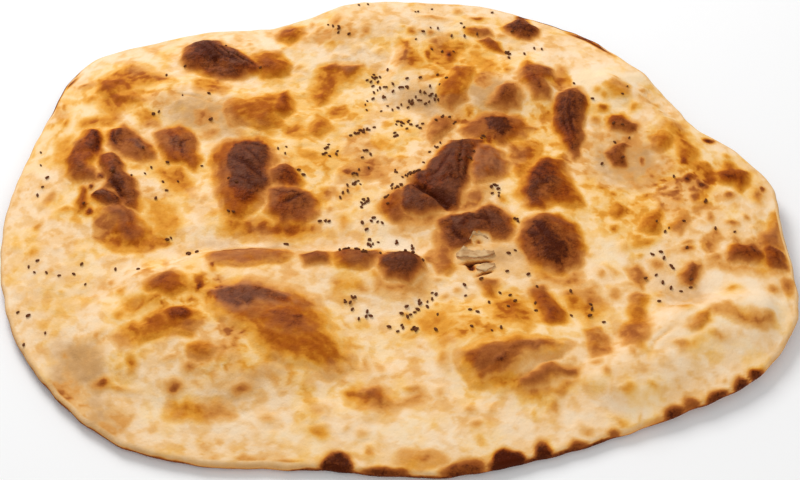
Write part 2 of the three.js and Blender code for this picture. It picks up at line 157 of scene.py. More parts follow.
# Browned patches of the crust: browning from 0, pale dough, to 1, black, how far in from its edge a
# patch reaches that, purplish painted sheen, which also gives a faint gloss, outline. Patches over
# others are the darker hearts in them.
PATCHES = [
    # back left
    (0.86, 4, 0.3, [(-122, 119), (-116, 124), (-112, 127), (-104, 125), (-98, 119), (-86, 111),
        (-76, 102), (-77, 97), (-84, 96), (-92, 92), (-100, 91), (-108, 96), (-119, 99),
        (-123, 107)]),
    (0.99, 3, 0.3, [(-119, 119), (-108, 125), (-100, 119), (-97, 106), (-103, 100), (-116, 102)]),
    (0.9, 3, 0.9, [(-100, 118), (-86, 109), (-77, 101), (-84, 99), (-98, 101)]),
    (0.64, 5, 0, [(-84, 109), (-76, 115), (-68, 114), (-61, 106), (-60, 98), (-66, 94),
        (-76, 95)]),
    (0.76, 4, 0.2, [(-78, 108), (-70, 110), (-66, 101), (-72, 96), (-79, 98)]),
    (0.64, 4, 0, [(-70, 131), (-64, 137), (-56, 137), (-53, 131), (-57, 125), (-62, 122),
        (-68, 126)]),
    (0.82, 3, 0.1, [(-68, 131), (-64, 136), (-58, 136), (-60, 131)]),
    (0.48, 6, 0, [(-170, 88), (-162, 97), (-152, 105), (-142, 100), (-128, 91), (-125, 86),
        (-132, 86), (-143, 84), (-148, 77), (-139, 71), (-141, 67), (-150, 66), (-155, 58),
        (-163, 63), (-169, 74)]),
    (0.66, 5, 0, [(-168, 90), (-158, 87), (-155, 79), (-161, 72), (-168, 78)]),
    (0.58, 4, 0, [(-158, 76), (-148, 78), (-140, 72), (-145, 68), (-156, 70)]),
    (0.56, 4, 0, [(-155, 63), (-151, 56), (-155, 49), (-163, 50), (-173, 47), (-171, 54),
        (-162, 58)]),
    (0.45, 3, 0, [(-144, 62), (-138, 64), (-132, 58), (-130, 50), (-138, 52)]),
    (0.47, 4, 0, [(-114, 88), (-110, 93), (-100, 92), (-95, 84), (-97, 76), (-104, 76),
        (-111, 80)]),
    (0.5, 3, 0, [(-111, 62), (-104, 64), (-101, 55), (-106, 52), (-110, 56)]),
    (0.58, 5, 0, [(-95, 64), (-90, 73), (-80, 71), (-72, 79), (-66, 80), (-66, 70), (-64, 62),
        (-62, 52), (-70, 48), (-80, 52), (-91, 52)]),
    (0.74, 4, 0, [(-66, 81), (-60, 83), (-56, 72), (-57, 63), (-62, 60), (-68, 60), (-67, 70)]),
    (0.45, 4, 0, [(-60, 53), (-52, 57), (-47, 50), (-52, 42), (-60, 44)]),
    (0.58, 4, 0, [(-46, 46), (-45, 56), (-42, 62), (-36, 58), (-34, 50), (-40, 44)]),
    (0.54, 5, 0, [(-46, 86), (-46, 96), (-42, 103), (-35, 106), (-30, 104), (-22, 105),
        (-17, 101), (-22, 93), (-30, 86), (-37, 74), (-44, 71), (-50, 80)]),
    (0.72, 3, 0, [(-42, 101), (-34, 105), (-29, 101), (-36, 97)]),
    (0.66, 2, 0.5, [(-32, 102), (-18, 103), (-27, 93)]),
    (0.68, 3, 0, [(-46, 78), (-40, 85), (-37, 78), (-42, 71)]),
    (0.5, 3, 0, [(-36, 68), (-28, 71), (-25, 64), (-34, 61)]),
    # left
    (0.74, 4, 0.1, [(-168, 45), (-162, 46), (-158, 39), (-156, 28), (-156, 22), (-160, 15),
        (-156, 8), (-155, 2), (-164, 3), (-172, 9), (-175, 20), (-172, 33)]),
    (0.92, 3, 0.35, [(-165, 45), (-160, 43), (-156, 30), (-158, 21), (-164, 23), (-168, 34)]),
    (0.85, 4, 0, [(-171, 22), (-163, 20), (-159, 10), (-164, 7), (-170, 13)]),
    (0.72, 3, 0.1, [(-155, 43), (-148, 50), (-142, 45), (-136, 39), (-130, 34), (-128, 26),
        (-133, 21), (-141, 23), (-150, 28), (-155, 36)]),
    (0.92, 3, 0.3, [(-154, 42), (-149, 48), (-144, 41), (-148, 32), (-154, 35)]),
    (0.84, 2.5, 1, [(-146, 37), (-137, 39), (-131, 32), (-134, 26), (-143, 28)]),
    (0.84, 3, 0.3, [(-157, 20), (-151, 25), (-145, 22), (-141, 10), (-135, 2), (-131, -6),
        (-130, -17), (-137, -15), (-142, -6), (-149, -3), (-151, 5), (-154, 13)]),
    (0.97, 3, 0.1, [(-150, 13), (-145, 11), (-137, -2), (-135, -9), (-143, -5), (-150, 1)]),
    (0.93, 2.5, 1, [(-155, -7), (-150, -3), (-143, -6), (-139, -12), (-141, -17), (-148, -16),
        (-153, -12)]),
    (0.7, 4, 0.35, [(-146, -16), (-138, -14), (-133, -17), (-127, -24), (-124, -33), (-126, -39),
        (-133, -41), (-138, -36), (-142, -28), (-148, -21)]),
    (0.5, 5, 0, [(-152, -18), (-149, -36), (-137, -45), (-122, -44), (-113, -38), (-126, -28),
        (-140, -18)]),
    (0.76, 3, 0, [(-162, -1), (-158, -5), (-156, -14), (-160, -20), (-163, -12)]),
    (0.72, 3, 0.2, [(-131, 46), (-124, 50), (-118, 52), (-110, 46), (-107, 36), (-104, 26),
        (-105, 17), (-113, 20), (-121, 24), (-127, 34)]),
    (0.81, 4, 0.6, [(-125, 45), (-116, 45), (-110, 38), (-112, 23), (-119, 27), (-125, 36)]),
    (0.44, 5, 0, [(-127, 22), (-112, 20), (-106, 10), (-107, 0), (-114, -3), (-119, 6),
        (-127, 14)]),
    (0.37, 5, 0, [(-130, -5), (-121, -5), (-112, -12), (-107, -24), (-110, -35), (-119, -35),
        (-126, -24)]),
    (0.38, 4, 0, [(-183, 38), (-175, 42), (-171, 30), (-175, 12), (-181, 20)]),
    # middle left
    (0.66, 5, 0, [(-97, 34), (-93, 40), (-84, 42), (-75, 43), (-68, 40), (-64, 30), (-63, 20),
        (-66, 8), (-66, -6), (-71, -16), (-80, -25), (-86, -19), (-91, -4), (-95, 12),
        (-98, 24)]),
    (0.94, 4, 0.7, [(-90, 36), (-82, 41), (-70, 40), (-65, 30), (-64, 12), (-65, -2), (-75, -8),
        (-86, -3), (-90, 16)]),
    (1, 5, 0.2, [(-90, 22), (-78, 17), (-68, 4), (-66, -6), (-75, -8), (-86, -1)]),
    (0.86, 6, 0, [(-87, 2), (-66, 2), (-68, -10), (-77, -20), (-84, -11)]),
    (0.83, 4, 0.15, [(-65, 14), (-58, 19), (-51, 15), (-48, 6), (-51, 1), (-60, 0), (-65, 4)]),
    (0.78, 5, 0.25, [(-65, 0), (-52, 2), (-43, -2), (-39, -8), (-39, -18), (-46, -25), (-58, -27),
        (-65, -18)]),
    (0.52, 7, 0, [(-88, -20), (-70, -22), (-46, -22), (-37, -24), (-38, -31), (-52, -34),
        (-74, -34), (-86, -28)]),
    (0.53, 4, 0, [(-29, 8), (-27, 18), (-20, 21), (-18, 27), (-9, 28), (-5, 20), (-4, 9),
        (-12, 8), (-20, 11)]),
    (0.46, 3, 0, [(-38, 2), (-30, 3), (-29, -3), (-36, -3)]),
    (0.32, 9, 0, [(-66, 33), (-30, 36), (-14, 34), (-8, 26), (-24, 22), (-46, 20), (-60, 26)]),
    (0.33, 7, 0, [(-22, 42), (-2, 46), (4, 34), (-8, 30), (-20, 33)]),
    # middle right
    (0.64, 4, 0, [(19, 46), (21, 54), (26, 61), (33, 60), (33, 55), (28, 46), (22, 39)]),
    (0.68, 4, 0, [(36, 50), (41, 57), (50, 62), (62, 62), (72, 58), (77, 50), (72, 44), (66, 41),
        (60, 37), (54, 39), (50, 42), (44, 40)]),
    (1.0, 3, 0.25, [(49, 59), (56, 61), (64, 58), (67, 49), (60, 41), (53, 46), (49, 52)]),
    (0.93, 4, 0.75, [(21, 22), (26, 33), (31, 39), (40, 42), (50, 41), (45, 30), (42, 18),
        (39, 6), (37, -3), (33, -15), (27, -15), (20, -9), (12, 0), (8, 8), (16, 15)]),
    (0.7, 5, 0.95, [(42, 39), (52, 38), (59, 31), (62, 22), (60, 11), (52, 7), (44, 3), (40, 6),
        (40, 20)]),
    (0.92, 4, 0.9, [(4, 1), (10, 5), (14, -1), (22, -9), (28, -15), (22, -19), (12, -21),
        (4, -19), (2, -10)]),
    (0.72, 4, 0, [(-6, -10), (2, 1), (7, -4), (6, -16), (9, -23), (0, -24), (-7, -17)]),
    (0.54, 5, 0, [(-4, -19), (14, -20), (26, -18), (30, -22), (20, -27), (6, -28)]),
    (0.54, 6, 0.3, [(35, -4), (44, 4), (51, 0), (47, -12), (39, -20), (32, -16)]),
    (0.52, 5, 0, [(63, 37), (72, 41), (81, 38), (78, 27), (72, 18), (66, 14), (64, 24)]),
    (0.64, 3, 0, [(65, 20), (70, 22), (71, 14), (67, 11)]),
    (0.86, 4, 0.3, [(23, -24), (30, -20), (38, -19), (44, -16), (50, -11), (57, -14), (61, -22),
        (61, -31), (57, -37), (48, -35), (42, -36), (38, -43), (30, -45), (23, -36)]),
    (0.98, 4, 1, [(28, -21), (42, -18), (47, -27), (39, -35), (27, -32)]),
    (0.94, 4, 0.8, [(44, -16), (54, -14), (60, -24), (54, -31), (46, -26)]),
    (0.66, 5, 0, [(21, -32), (29, -42), (32, -54), (27, -59), (21, -48)]),
    (0.74, 5, 0, [(79, 26), (84, 28), (91, 24), (92, 12), (95, 0), (99, -10), (92, -14),
        (82, -12), (76, -16), (68, -13), (65, -2), (69, 10), (74, 20)]),
    (0.91, 4, 0.25, [(76, 22), (84, 24), (89, 14), (87, 2), (80, -4), (77, -17), (70, -14),
        (66, -2), (70, 8), (73, 16)]),
    (0.76, 4, 0, [(65, -30), (68, -24), (76, -21), (85, -21), (93, -26), (95, -34), (95, -46),
        (91, -55), (82, -60), (74, -57), (65, -48), (62, -38)]),
    (0.98, 4, 0.1, [(67, -31), (70, -25), (77, -25), (81, -31), (87, -40), (89, -50), (83, -57),
        (76, -55), (69, -46), (66, -38)]),
    (0.73, 3, 0.5, [(76, -22), (86, -22), (93, -27), (92, -36), (84, -34), (78, -28)]),
    (0.5, 6, 0, [(68, -54), (82, -60), (92, -57), (92, -66), (84, -69), (74, -65)]),
    # crest of the front left puff
    (0.58, 4, 0.55, [(-92, -50), (-84, -43), (-70, -42), (-54, -44), (-49, -49), (-54, -57),
        (-70, -60), (-88, -60)]),
    (0.76, 3, 0.3, [(-90, -46), (-80, -43), (-70, -43), (-60, -45), (-72, -49), (-86, -50)]),
    (0.78, 3, 0.4, [(-45, -50), (-38, -45), (-31, -48), (-30, -57), (-42, -58)]),
    (0.77, 4, 0.4, [(-30, -48), (-22, -43), (-8, -44), (-5, -50), (-12, -59), (-26, -58)]),
    (0.94, 4, 0.6, [(-7, -52), (-2, -46), (8, -45), (14, -50), (15, -60), (8, -68), (-2, -66),
        (-7, -58)]),
    (0.44, 6, 0, [(-10, -60), (0, -68), (12, -67), (18, -62), (16, -72), (6, -76), (-8, -73)]),
    (0.52, 3, 0.3, [(18, -44), (23, -44), (22, -52), (17, -51)]),
    (0.64, 3, 0, [(21, -52), (29, -51), (29, -57), (22, -58)]),
    (0.42, 4, 0, [(-30, -66), (-18, -67), (-12, -72), (-28, -74)]),
    # back right
    (0.9, 3, 0.1, [(65, 137), (72, 144), (76, 148), (82, 142), (87, 136), (85, 130), (80, 125),
        (74, 127), (68, 131)]),
    (1, 3, 0, [(70, 140), (75, 144), (79, 138), (76, 130), (70, 133)]),
    (0.7, 3, 0, [(43, 135), (48, 138), (56, 135), (59, 129), (52, 130), (46, 131)]),
    (0.79, 3, 0.1, [(51, 126), (56, 128), (62, 121), (65, 115), (59, 116), (54, 120)]),
    (0.47, 5, 0, [(1, 104), (4, 123), (11, 123), (13, 112), (19, 104), (14, 97), (4, 97)]),
    (0.42, 6, 0, [(18, 104), (18, 118), (24, 130), (34, 128), (44, 124), (42, 112), (34, 102),
        (26, 98)]),
    (0.74, 3, 0, [(29, 107), (29, 116), (33, 119), (37, 115), (36, 107), (32, 105)]),
    (0.38, 6, 0, [(42, 118), (50, 121), (59, 109), (62, 92), (52, 86), (46, 100)]),
    (0.6, 4, 0, [(25, 70), (27, 84), (32, 92), (35, 101), (46, 101), (45, 90), (42, 84), (41, 72),
        (33, 66)]),
    (0.69, 4, 0, [(34, 99), (43, 99), (41, 87), (35, 86)]),
    (0.52, 4, 0, [(47, 92), (53, 95), (56, 86), (51, 79), (47, 84)]),
    (0.74, 5, 0, [(52, 68), (58, 76), (63, 84), (70, 82), (72, 73), (70, 66), (60, 64)]),
    (0.74, 4, 0.1, [(72, 90), (74, 98), (77, 105), (82, 99), (91, 96), (92, 88), (87, 82),
        (87, 71), (80, 71), (76, 78), (72, 84)]),
    (0.89, 3, 0, [(74, 97), (78, 101), (81, 90), (85, 75), (81, 73), (77, 82)]),
    (0.5, 3, 0, [(91, 86), (92, 92), (96, 94), (100, 88), (99, 81), (95, 77), (90, 81)]),
    (0.86, 3, 0.2, [(97, 76), (103, 79), (107, 72), (109, 65), (105, 58), (104, 46), (102, 34),
        (98, 24), (94, 32), (91, 44), (88, 52), (89, 64), (93, 74)]),
    (0.95, 3, 0.1, [(92, 68), (99, 73), (105, 69), (103, 58), (101, 44), (98, 32), (95, 42),
        (91, 54)]),
    # right
    (0.46, 3, 0, [(121, 77), (126, 80), (131, 76), (131, 70), (124, 69)]),
    (0.79, 2.5, 0, [(118, 52), (121, 57), (127, 57), (133, 50), (133, 43), (128, 42), (124, 47),
        (119, 47)]),
    (0.8, 3, 0, [(115, 30), (120, 35), (124, 38), (129, 34), (125, 28), (124, 20), (118, 20),
        (115, 26)]),
    (0.58, 3, 0, [(140, 38), (146, 40), (151, 36), (149, 28), (143, 27), (140, 32)]),
    (0.44, 5, 0, [(144, 44), (149, 50), (159, 49), (161, 38), (160, 27), (154, 26), (152, 35)]),
    (0.62, 4, 0, [(153, 37), (158, 35), (162, 26), (160, 16), (165, 14), (169, 8), (164, 5),
        (158, 12), (153, 20)]),
    (0.74, 4, 0, [(169, 8), (175, 11), (178, 17), (181, 11), (187, 10), (185, 0), (180, -5),
        (176, 0), (169, 1)]),
    (0.63, 3, 0, [(113, -12), (117, -9), (120, -14), (116, -21), (112, -17)]),
    (0.63, 4, 0, [(124, -30), (128, -24), (132, -18), (138, -13), (137, -22), (134, -32),
        (128, -33)]),
    (0.6, 3, 0, [(140, -30), (144, -24), (149, -19), (149, -28), (144, -34)]),
    (0.5, 3, 0, [(155, -39), (162, -34), (164, -38), (160, -42), (158, -48), (155, -45)]),
    (0.63, 4, 0.3, [(197, -20), (195, -34), (193, -46), (184, -49), (180, -44), (188, -33),
        (193, -25)]),
    (0.83, 4, 0.1, [(164, -50), (170, -43), (178, -43), (183, -48), (183, -55), (174, -56),
        (165, -54)]),
    (0.82, 3, 0.2, [(183, -48), (188, -45), (192, -50), (193, -59), (184, -59), (182, -53)]),
    (0.42, 4, 0, [(156, -52), (168, -58), (192, -60), (190, -64), (168, -61), (154, -57)]),
    (0.63, 3, 0, [(117, -55), (121, -53), (124, -60), (121, -67), (117, -62)]),
    (0.84, 3, 0.1, [(141, -61), (147, -53), (151, -56), (149, -62), (146, -68), (142, -66)]),
    (0.6, 3, 0, [(118, -71), (122, -74), (119, -82), (119, -94), (117, -102), (114, -111),
        (107, -108), (106, -98), (112, -90), (113, -80)]),
    (0.73, 3, 0, [(110, -96), (116, -95), (114, -107), (109, -107)]),
    (0.58, 3, 0, [(91, -97), (97, -94), (100, -104), (98, -113), (91, -114), (90, -104)]),
    (0.7, 3, 0.15, [(67, -71), (73, -68), (77, -76), (81, -84), (81, -92), (72, -95), (68, -84)]),
    (0.84, 2.5, 0.2, [(69, -72), (73, -69), (75, -77), (70, -79)]),
    (0.8, 3, 0, [(70, -82), (79, -84), (79, -92), (72, -93)]),
    (0.5, 6, 0, [(47, -76), (56, -73), (65, -78), (67, -90), (62, -101), (54, -97), (45, -88)]),
    (0.62, 3, 0, [(56, -80), (60, -80), (61, -96), (56, -96)]),
    (0.66, 3, 0, [(43, -61), (50, -63), (50, -74), (45, -73)]),
    (0.42, 6, 0, [(82, -68), (98, -66), (104, -84), (92, -92), (82, -84)]),
    # front right puff
    (0.66, 8, 0.1, [(30, -112), (44, -107), (56, -105), (70, -105), (82, -107), (76, -114),
        (62, -117), (56, -125), (48, -129), (37, -129), (30, -120)]),
    (0.84, 6, 0.2, [(41, -118), (50, -111), (57, -113), (53, -125), (43, -125)]),
    (0.75, 4, 0.6, [(53, -111), (74, -107), (68, -114), (56, -115)]),
    (0.53, 5, 0, [(34, -126), (50, -133), (68, -132), (58, -124)]),
    (0.72, 3, 0.2, [(57, -129), (64, -124), (72, -120), (83, -121), (83, -124), (72, -126),
        (64, -131), (56, -132)]),
    (0.45, 4, 0, [(56, -132), (70, -130), (86, -127), (76, -134), (58, -137)]),
    (0.35, 7, 0, [(8, -90), (14, -82), (26, -82), (31, -92), (32, -106), (24, -112), (16, -102),
        (10, -97)]),
    (0.53, 4, 0, [(148, -88), (156, -87), (165, -91), (178, -90), (179, -94), (174, -98),
        (162, -97), (157, -93), (151, -91)]),
    (0.6, 3, 0.1, [(137, -100), (144, -93), (148, -90), (147, -96), (141, -100)]),
    # front left puff
    (0.58, 9, 0, [(-87, -80), (-80, -72), (-68, -69), (-58, -71), (-46, -75), (-35, -80),
        (-31, -90), (-29, -100), (-21, -108), (-17, -118), (-28, -125), (-42, -120), (-56, -118),
        (-66, -107), (-76, -99), (-88, -88)]),
    (0.86, 9, 0.9, [(-90, -79), (-80, -72), (-62, -71), (-48, -78), (-41, -87), (-48, -92),
        (-62, -90), (-72, -97), (-85, -89)]),
    (0.7, 10, 0.3, [(-66, -90), (-46, -84), (-35, -93), (-32, -104), (-44, -109), (-60, -105)]),
    (0.78, 7, 0.3, [(-56, -90), (-40, -90), (-36, -98), (-44, -102), (-56, -98)]),
    (1.0, 6, 0, [(-74, -79), (-64, -78), (-60, -86), (-67, -94), (-74, -88)]),
    (0.7, 4, 0, [(-118, -74), (-112, -66), (-106, -65), (-99, -71), (-97, -78), (-104, -82),
        (-114, -81)]),
    (0.88, 3, 0, [(-114, -74), (-111, -68), (-107, -70), (-109, -75)]),
    (0.48, 4, 0, [(-100, -73), (-88, -74), (-84, -78), (-98, -80)]),
    (0.58, 5, 0, [(-114, -96), (-110, -91), (-104, -92), (-98, -88), (-92, -92), (-87, -99),
        (-92, -106), (-104, -105), (-114, -109), (-121, -105), (-119, -99)]),
    (0.86, 4, 0, [(-107, -93), (-98, -88), (-90, -94), (-95, -101), (-103, -100)]),
    (0.74, 3, 0, [(-114, -95), (-107, -94), (-108, -102), (-113, -101)]),
    (0.53, 4, 0, [(-129, -104), (-121, -97), (-112, -98), (-114, -110), (-123, -111)]),
    (0.43, 5, 0, [(-127, -80), (-116, -82), (-112, -88), (-120, -93), (-129, -88)]),
    (0.59, 4, 0, [(-92, -112), (-84, -110), (-78, -114), (-84, -119), (-91, -118)]),
    (0.45, 4, 0, [(-99, -139), (-90, -138), (-72, -139), (-69, -144), (-80, -148), (-99, -146)]),
    (0.56, 5, 0, [(-21, -132), (-12, -129), (-4, -131), (0, -137), (6, -136), (14, -131),
        (16, -136), (4, -141), (-4, -144), (-12, -141), (-20, -136)]),
    (0.72, 4, 0.1, [(-15, -132), (-6, -130), (0, -138), (-6, -141)]),
]

# Small browned spots: (x, y, half length, half width, turn, browning).
MARKS = [
    (-176, 84, 5, 3, 30, 0.5), (-170, 72, 3, 5, 0, 0.46), (-184, 66, 2, 4, 0, 0.5),
    (-181, 53, 3, 5, 0, 0.46), (-100, 46, 5, 4, 0, 0.45), (-155, -19, 3, 3, 0, 0.8),
    (-157, -2, 2, 2, 0, 0.85), (-154, 6, 3, 3, 0, 0.85), (-178, -8, 5, 8, 0, 0.4),
    (-168, -17, 6, 4, 20, 0.44), (-180, -28, 3, 5, 0, 0.42), (-178, -46, 5, 6, 0, 0.4),
    (-98, -6, 4, 4, 0, 0.33), (-92, -18, 4, 4, 0, 0.36), (-24, 14, 4, 4, 0, 0.64),
    (-13, 16, 5, 7, 0, 0.6), (3, 24, 3, 4, 0, 0.42), (-25, -22, 4, 8, 0, 0.4),
    (57, -6, 4, 5, 0, 0.42), (50, 146, 5, 3, 0, 0.6), (24, 144, 9, 3, 0, 0.44),
    (39, 152, 4, 3, 0, 0.42), (-34, 138, 5, 9, 0, 0.42), (6, 108, 2.5, 9, -8, 0.68),
    (21, 111, 3, 7, 0, 0.64), (24, 124, 4, 4, 0, 0.58), (32, 112, 3, 5, 0, 0.84),
    (38, 123, 5, 4, 0, 0.47), (21, 131, 3, 3, 0, 0.5), (26, 103, 2.5, 5, 0, 0.5),
    (66, 96, 3, 6, 0, 0.46), (97, 96, 3, 6, 0, 0.42), (117, 63, 3, 3, 0, 0.58),
    (112, 56, 4, 4, 0, 0.46), (118, 72, 3, 3, 0, 0.4), (133, 23, 2.5, 4, 20, 0.6),
    (137, 12, 3, 3.5, 0, 0.48), (144, 13, 2.5, 3, 0, 0.44), (155, 18, 4, 6, 20, 0.7),
    (177, 4, 5, 4, 0, 0.82), (155, 5, 3, 3.5, -20, 0.92), (161, 0, 2.5, 4.5, 10, 0.93),
    (156, -8, 3.5, 6, 0, 0.62), (188, -8, 4, 8, 0, 0.53), (173, -9, 3.5, 3, 0, 0.58),
    (191, -3, 1.5, 2, 0, 0.7), (147, -8, 4, 6, 0, 0.5), (139, -8, 2.5, 5, 0, 0.4),
    (115, -1, 3, 3, 0, 0.5), (113, -28, 3, 4, 0, 0.52), (161, -24, 3, 5, 0, 0.52),
    (171, -30, 3, 3, 0, 0.54), (146, -45, 4, 3, 20, 0.52), (178, 22, 2.5, 3, 0, 0.42),
    (126, -38, 9, 3, 10, 0.44), (191, -70, 3, 5, 0, 0.6), (131, -53, 4, 5, 0, 0.45),
    (183, -72, 3.5, 4, 0, 0.5), (163, -72, 4, 3, 0, 0.42), (107, -73, 5, 5, 0, 0.43),
    (110, -114, 3, 5, 0, 0.4), (133, -110, 6, 3.5, 0, 0.43), (150, -104, 7, 2.5, -8, 0.36),
    (104, -134, 4, 3, 0, 0.42), (96, -125, 2.5, 3, 0, 0.44), (72, -140, 2.5, 5, 0, 0.42),
    (35, -142, 3, 2.5, 0, 0.4), (37, -150, 4, 2.5, 20, 0.42), (-118, -120, 3, 8, 0, 0.46),
    (-91, -123, 4, 4, 0, 0.54), (-97, -132, 5, 4, 0, 0.62), (-131, -128, 4.5, 4, 0, 0.68),
    (-122, -131, 7, 2, -10, 0.42), (-67, -133, 6, 4, 0, 0.54), (-32, -153, 6, 4, -30, 0.43),
    (-34, -142, 6, 6, 0, 0.3), (-12, -118, 3, 8, 0, 0.32), (-10, -163, 3, 4, 0, 0.42),
    (12, -166, 10, 4, 0, 0.46), (-45, -168, 8, 2, 0, 0.46), (-152, -128, 3, 4, 40, 0.48),
    (117, -66, 6, 3, 0, 0.34), (24, -115, 3, 6, 0, 0.4), (37, -100, 2, 4, 0, 0.5),
    (10, -130, 5, 3, 0, 0.42), (-90, -48, 2, 4, 0, 0.4), (-88, -60, 2, 5, 20, 0.66),
    (-98, 57, 2, 3, 0, 0.4),
]

# Places with many small golden blisters, which fall by a seeded rule: (x, y, half length, half
# width, turn, how many, mean half width, least browning, most browning).
SPOTTED = [
    (20, 118, 55, 26, 0, 36, 3.0, 0.2, 0.46),
    (-30, 40, 42, 26, 0, 46, 3.4, 0.18, 0.4),
    (-20, 0, 26, 22, 0, 20, 2.8, 0.18, 0.42),
    (126, 50, 28, 36, 0, 26, 2.4, 0.2, 0.45),
    (145, -15, 45, 40, 0, 52, 2.6, 0.2, 0.5),
    (100, -75, 40, 30, 0, 26, 2.6, 0.2, 0.42),
    (30, -80, 45, 20, 0, 20, 3.0, 0.18, 0.4),
    (-110, -95, 48, 34, 0, 30, 3.2, 0.18, 0.42),
    (-165, -40, 24, 55, 10, 34, 2.6, 0.14, 0.32),
    (-100, 20, 60, 60, 0, 30, 2.8, 0.16, 0.36),
    (-60, 110, 60, 30, 0, 26, 2.8, 0.16, 0.36),
    (110, -125, 60, 24, 25, 16, 2.6, 0.16, 0.34),
    (-10, -135, 60, 20, 0, 14, 2.8, 0.16, 0.34),
]

# Dough that is more golden, or paler where the amount is negative: (x, y, half length, half width,
# turn, amount). The paler place at (114, 84) is painted light that lifts a slope lying in shade,
# and the golden place at (-151, -130) by the front left rim is painted shade.
GOLDEN = [
    (-20, 35, 70, 55, 0, 0.12), (44, 98, 40, 26, 0, 0.12), (52, 40, 30, 14, 0, 0.06),
    (74, 30, 34, 40, 0, 0.16), (100, 24, 20, 30, 0, 0.12), (-140, -5, 50, 50, 0, 0.06),
    (48, -92, 34, 22, 0, 0.12), (-70, -105, 70, 40, -12, 0.18), (-150, 80, 34, 28, 0, 0.16),
    (40, 60, 20, 15, 0, 0.26), (62, 82, 16, 12, 0, 0.12), (124, 34, 16, 20, 0, 0.12),
    (160, 4, 20, 24, 0, 0.14), (-160, -22, 18, 12, 0, 0.14), (-186, 58, 12, 32, 0, 0.12),
    (46, -42, 14, 8, 0, 0.12), (80, -66, 18, 8, 0, 0.16), (140, -78, 18, 10, 0, 0.12),
    (34, -102, 22, 12, 0, 0.16), (-140, -112, 20, 22, 0, 0.08), (-151, -130, 14, 20, 30, 0.24),
    (-120, -60, 20, 10, 0, 0.12), (60, 42, 12, 10, 0, 0.1), (104, -18, 14, 10, 0, 0.12),
    (-40, 104, 24, 12, 0, -0.12), (174, -52, 20, 20, 0, -0.14), (126, 82, 20, 12, 0, -0.14),
    (-96, -110, 24, 12, 0, -0.12), (24, 18, 12, 10, 0, -0.16), (0, -38, 16, 8, 0, -0.2),
    (44, -42, 12, 8, 0, 0.1), (140, -112, 20, 20, 0, 0.06), (-128, -147, 38, 16, -38, 0.16),
    (-66, -166, 56, 14, -6, 0.1), (158, 42, 16, 12, 0, -0.2), (60, 82, 20, 14, 0, 0.1),
    (122, 42, 16, 14, 0, 0.1), (140, 18, 14, 12, 0, 0.1), (-102, 52, 18, 18, 0, 0.14),
    (122, 20, 30, 46, 0, 0.12), (150, 0, 34, 34, 0, 0.26), (-78, 65, 50, 26, 0, 0.14),
    (84, 60, 16, 22, 0, 0.26), (44, 40, 30, 14, 0, 0.2), (38, -46, 16, 16, 0, 0.1),
    (-50, 0, 40, 34, 0, 0.08), (0, -44, 18, 12, 0, -0.3), (22, 20, 10, 14, 0, -0.1),
    (-74, 118, 22, 12, 0, -0.12), (-36, 128, 26, 14, 0, 0.18), (122, -20, 20, 18, 0, 0.22),
    (20, 92, 20, 16, 0, 0.16), (-84, -76, 22, 14, 0, 0.42), (-106, -84, 26, 9, 0, 0.22),
    (-74, -100, 16, 12, 0, 0.12), (-30, -120, 26, 12, -15, 0.08), (16, -104, 18, 16, 0, 0.02),
    (160, -90, 60, 44, 40, -0.17), (30, -106, 24, 12, 0, -0.08), (104, -50, 20, 22, 0, -0.14),
    (114, 84, 34, 24, 0, -0.26), (0, -84, 20, 12, 0, -0.12), (30, 136, 54, 20, 0, -0.1),
    (-10, -150, 60, 18, 0, -0.08), (-85, -146, 44, 16, 0, -0.06), (90, -146, 40, 14, 20, -0.1),
    (-130, 66, 16, 20, 0, 0.14),
]

# A greyish cast, partly painted shade in the crust's valleys and hollows and on slopes turned from
# the light, partly thin, dry dough: (x, y, half length, half width, turn, amount).
SHADED_AND_DRY_PLACES = [
    (-104, 60, 42, 22, -12, 0.75), (20, 72, 26, 16, -20, 1.0), (58, 76, 26, 18, 0, 1.1),
    (126, 26, 30, 34, 0, 0.85), (-38, 126, 28, 10, 0, 0.6), (138, -70, 24, 22, 0, 0.6),
    (-143, -120, 18, 36, 30, 0.85), (-128, -146, 38, 16, -38, 0.6), (-64, -130, 30, 12, 15, 0.6),
    (-160, -70, 44, 54, 0, 0.22), (140, -112, 60, 34, 35, 0.1), (-30, 50, 30, 12, 20, 0.2),
    (58, -48, 20, 18, 0, 0.7), (-66, -42, 54, 8, 0, 0.6),
]

# Where the crust browns to pure gold, not to tan: (x, y, half length, half width, turn).
GILDED = [
    (-52, 60, 44, 56, 0), (-152, 82, 32, 32, 0), (42, 110, 40, 24, 0), (122, -24, 34, 22, 0),
    (42, -92, 50, 24, 0), (-102, -90, 40, 22, 0), (60, -2, 14, 16, 0), (-184, 36, 18, 34, 0),
    (0, 44, 20, 18, 0), (84, -84, 28, 20, 0), (-118, 16, 18, 18, 0), (-80, -24, 30, 16, 0),
    (176, 2, 20, 16, 0), (-165, -14, 18, 20, 0), (120, 62, 20, 16, 0), (84, 40, 14, 20, 0),
    (-80, 63, 26, 17, 0), (-28, 88, 26, 24, 0), (36, 84, 18, 22, 0), (-70, 104, 16, 14, 0),
    (-136, -38, 24, 12, 0), (-116, -20, 18, 24, 0), (-168, 56, 24, 40, 0), (112, -22, 44, 34, 0),
    (-42, 12, 20, 34, 0), (-40, -106, 38, 24, 0), (156, 26, 24, 28, 0), (22, -98, 26, 18, 0),
]
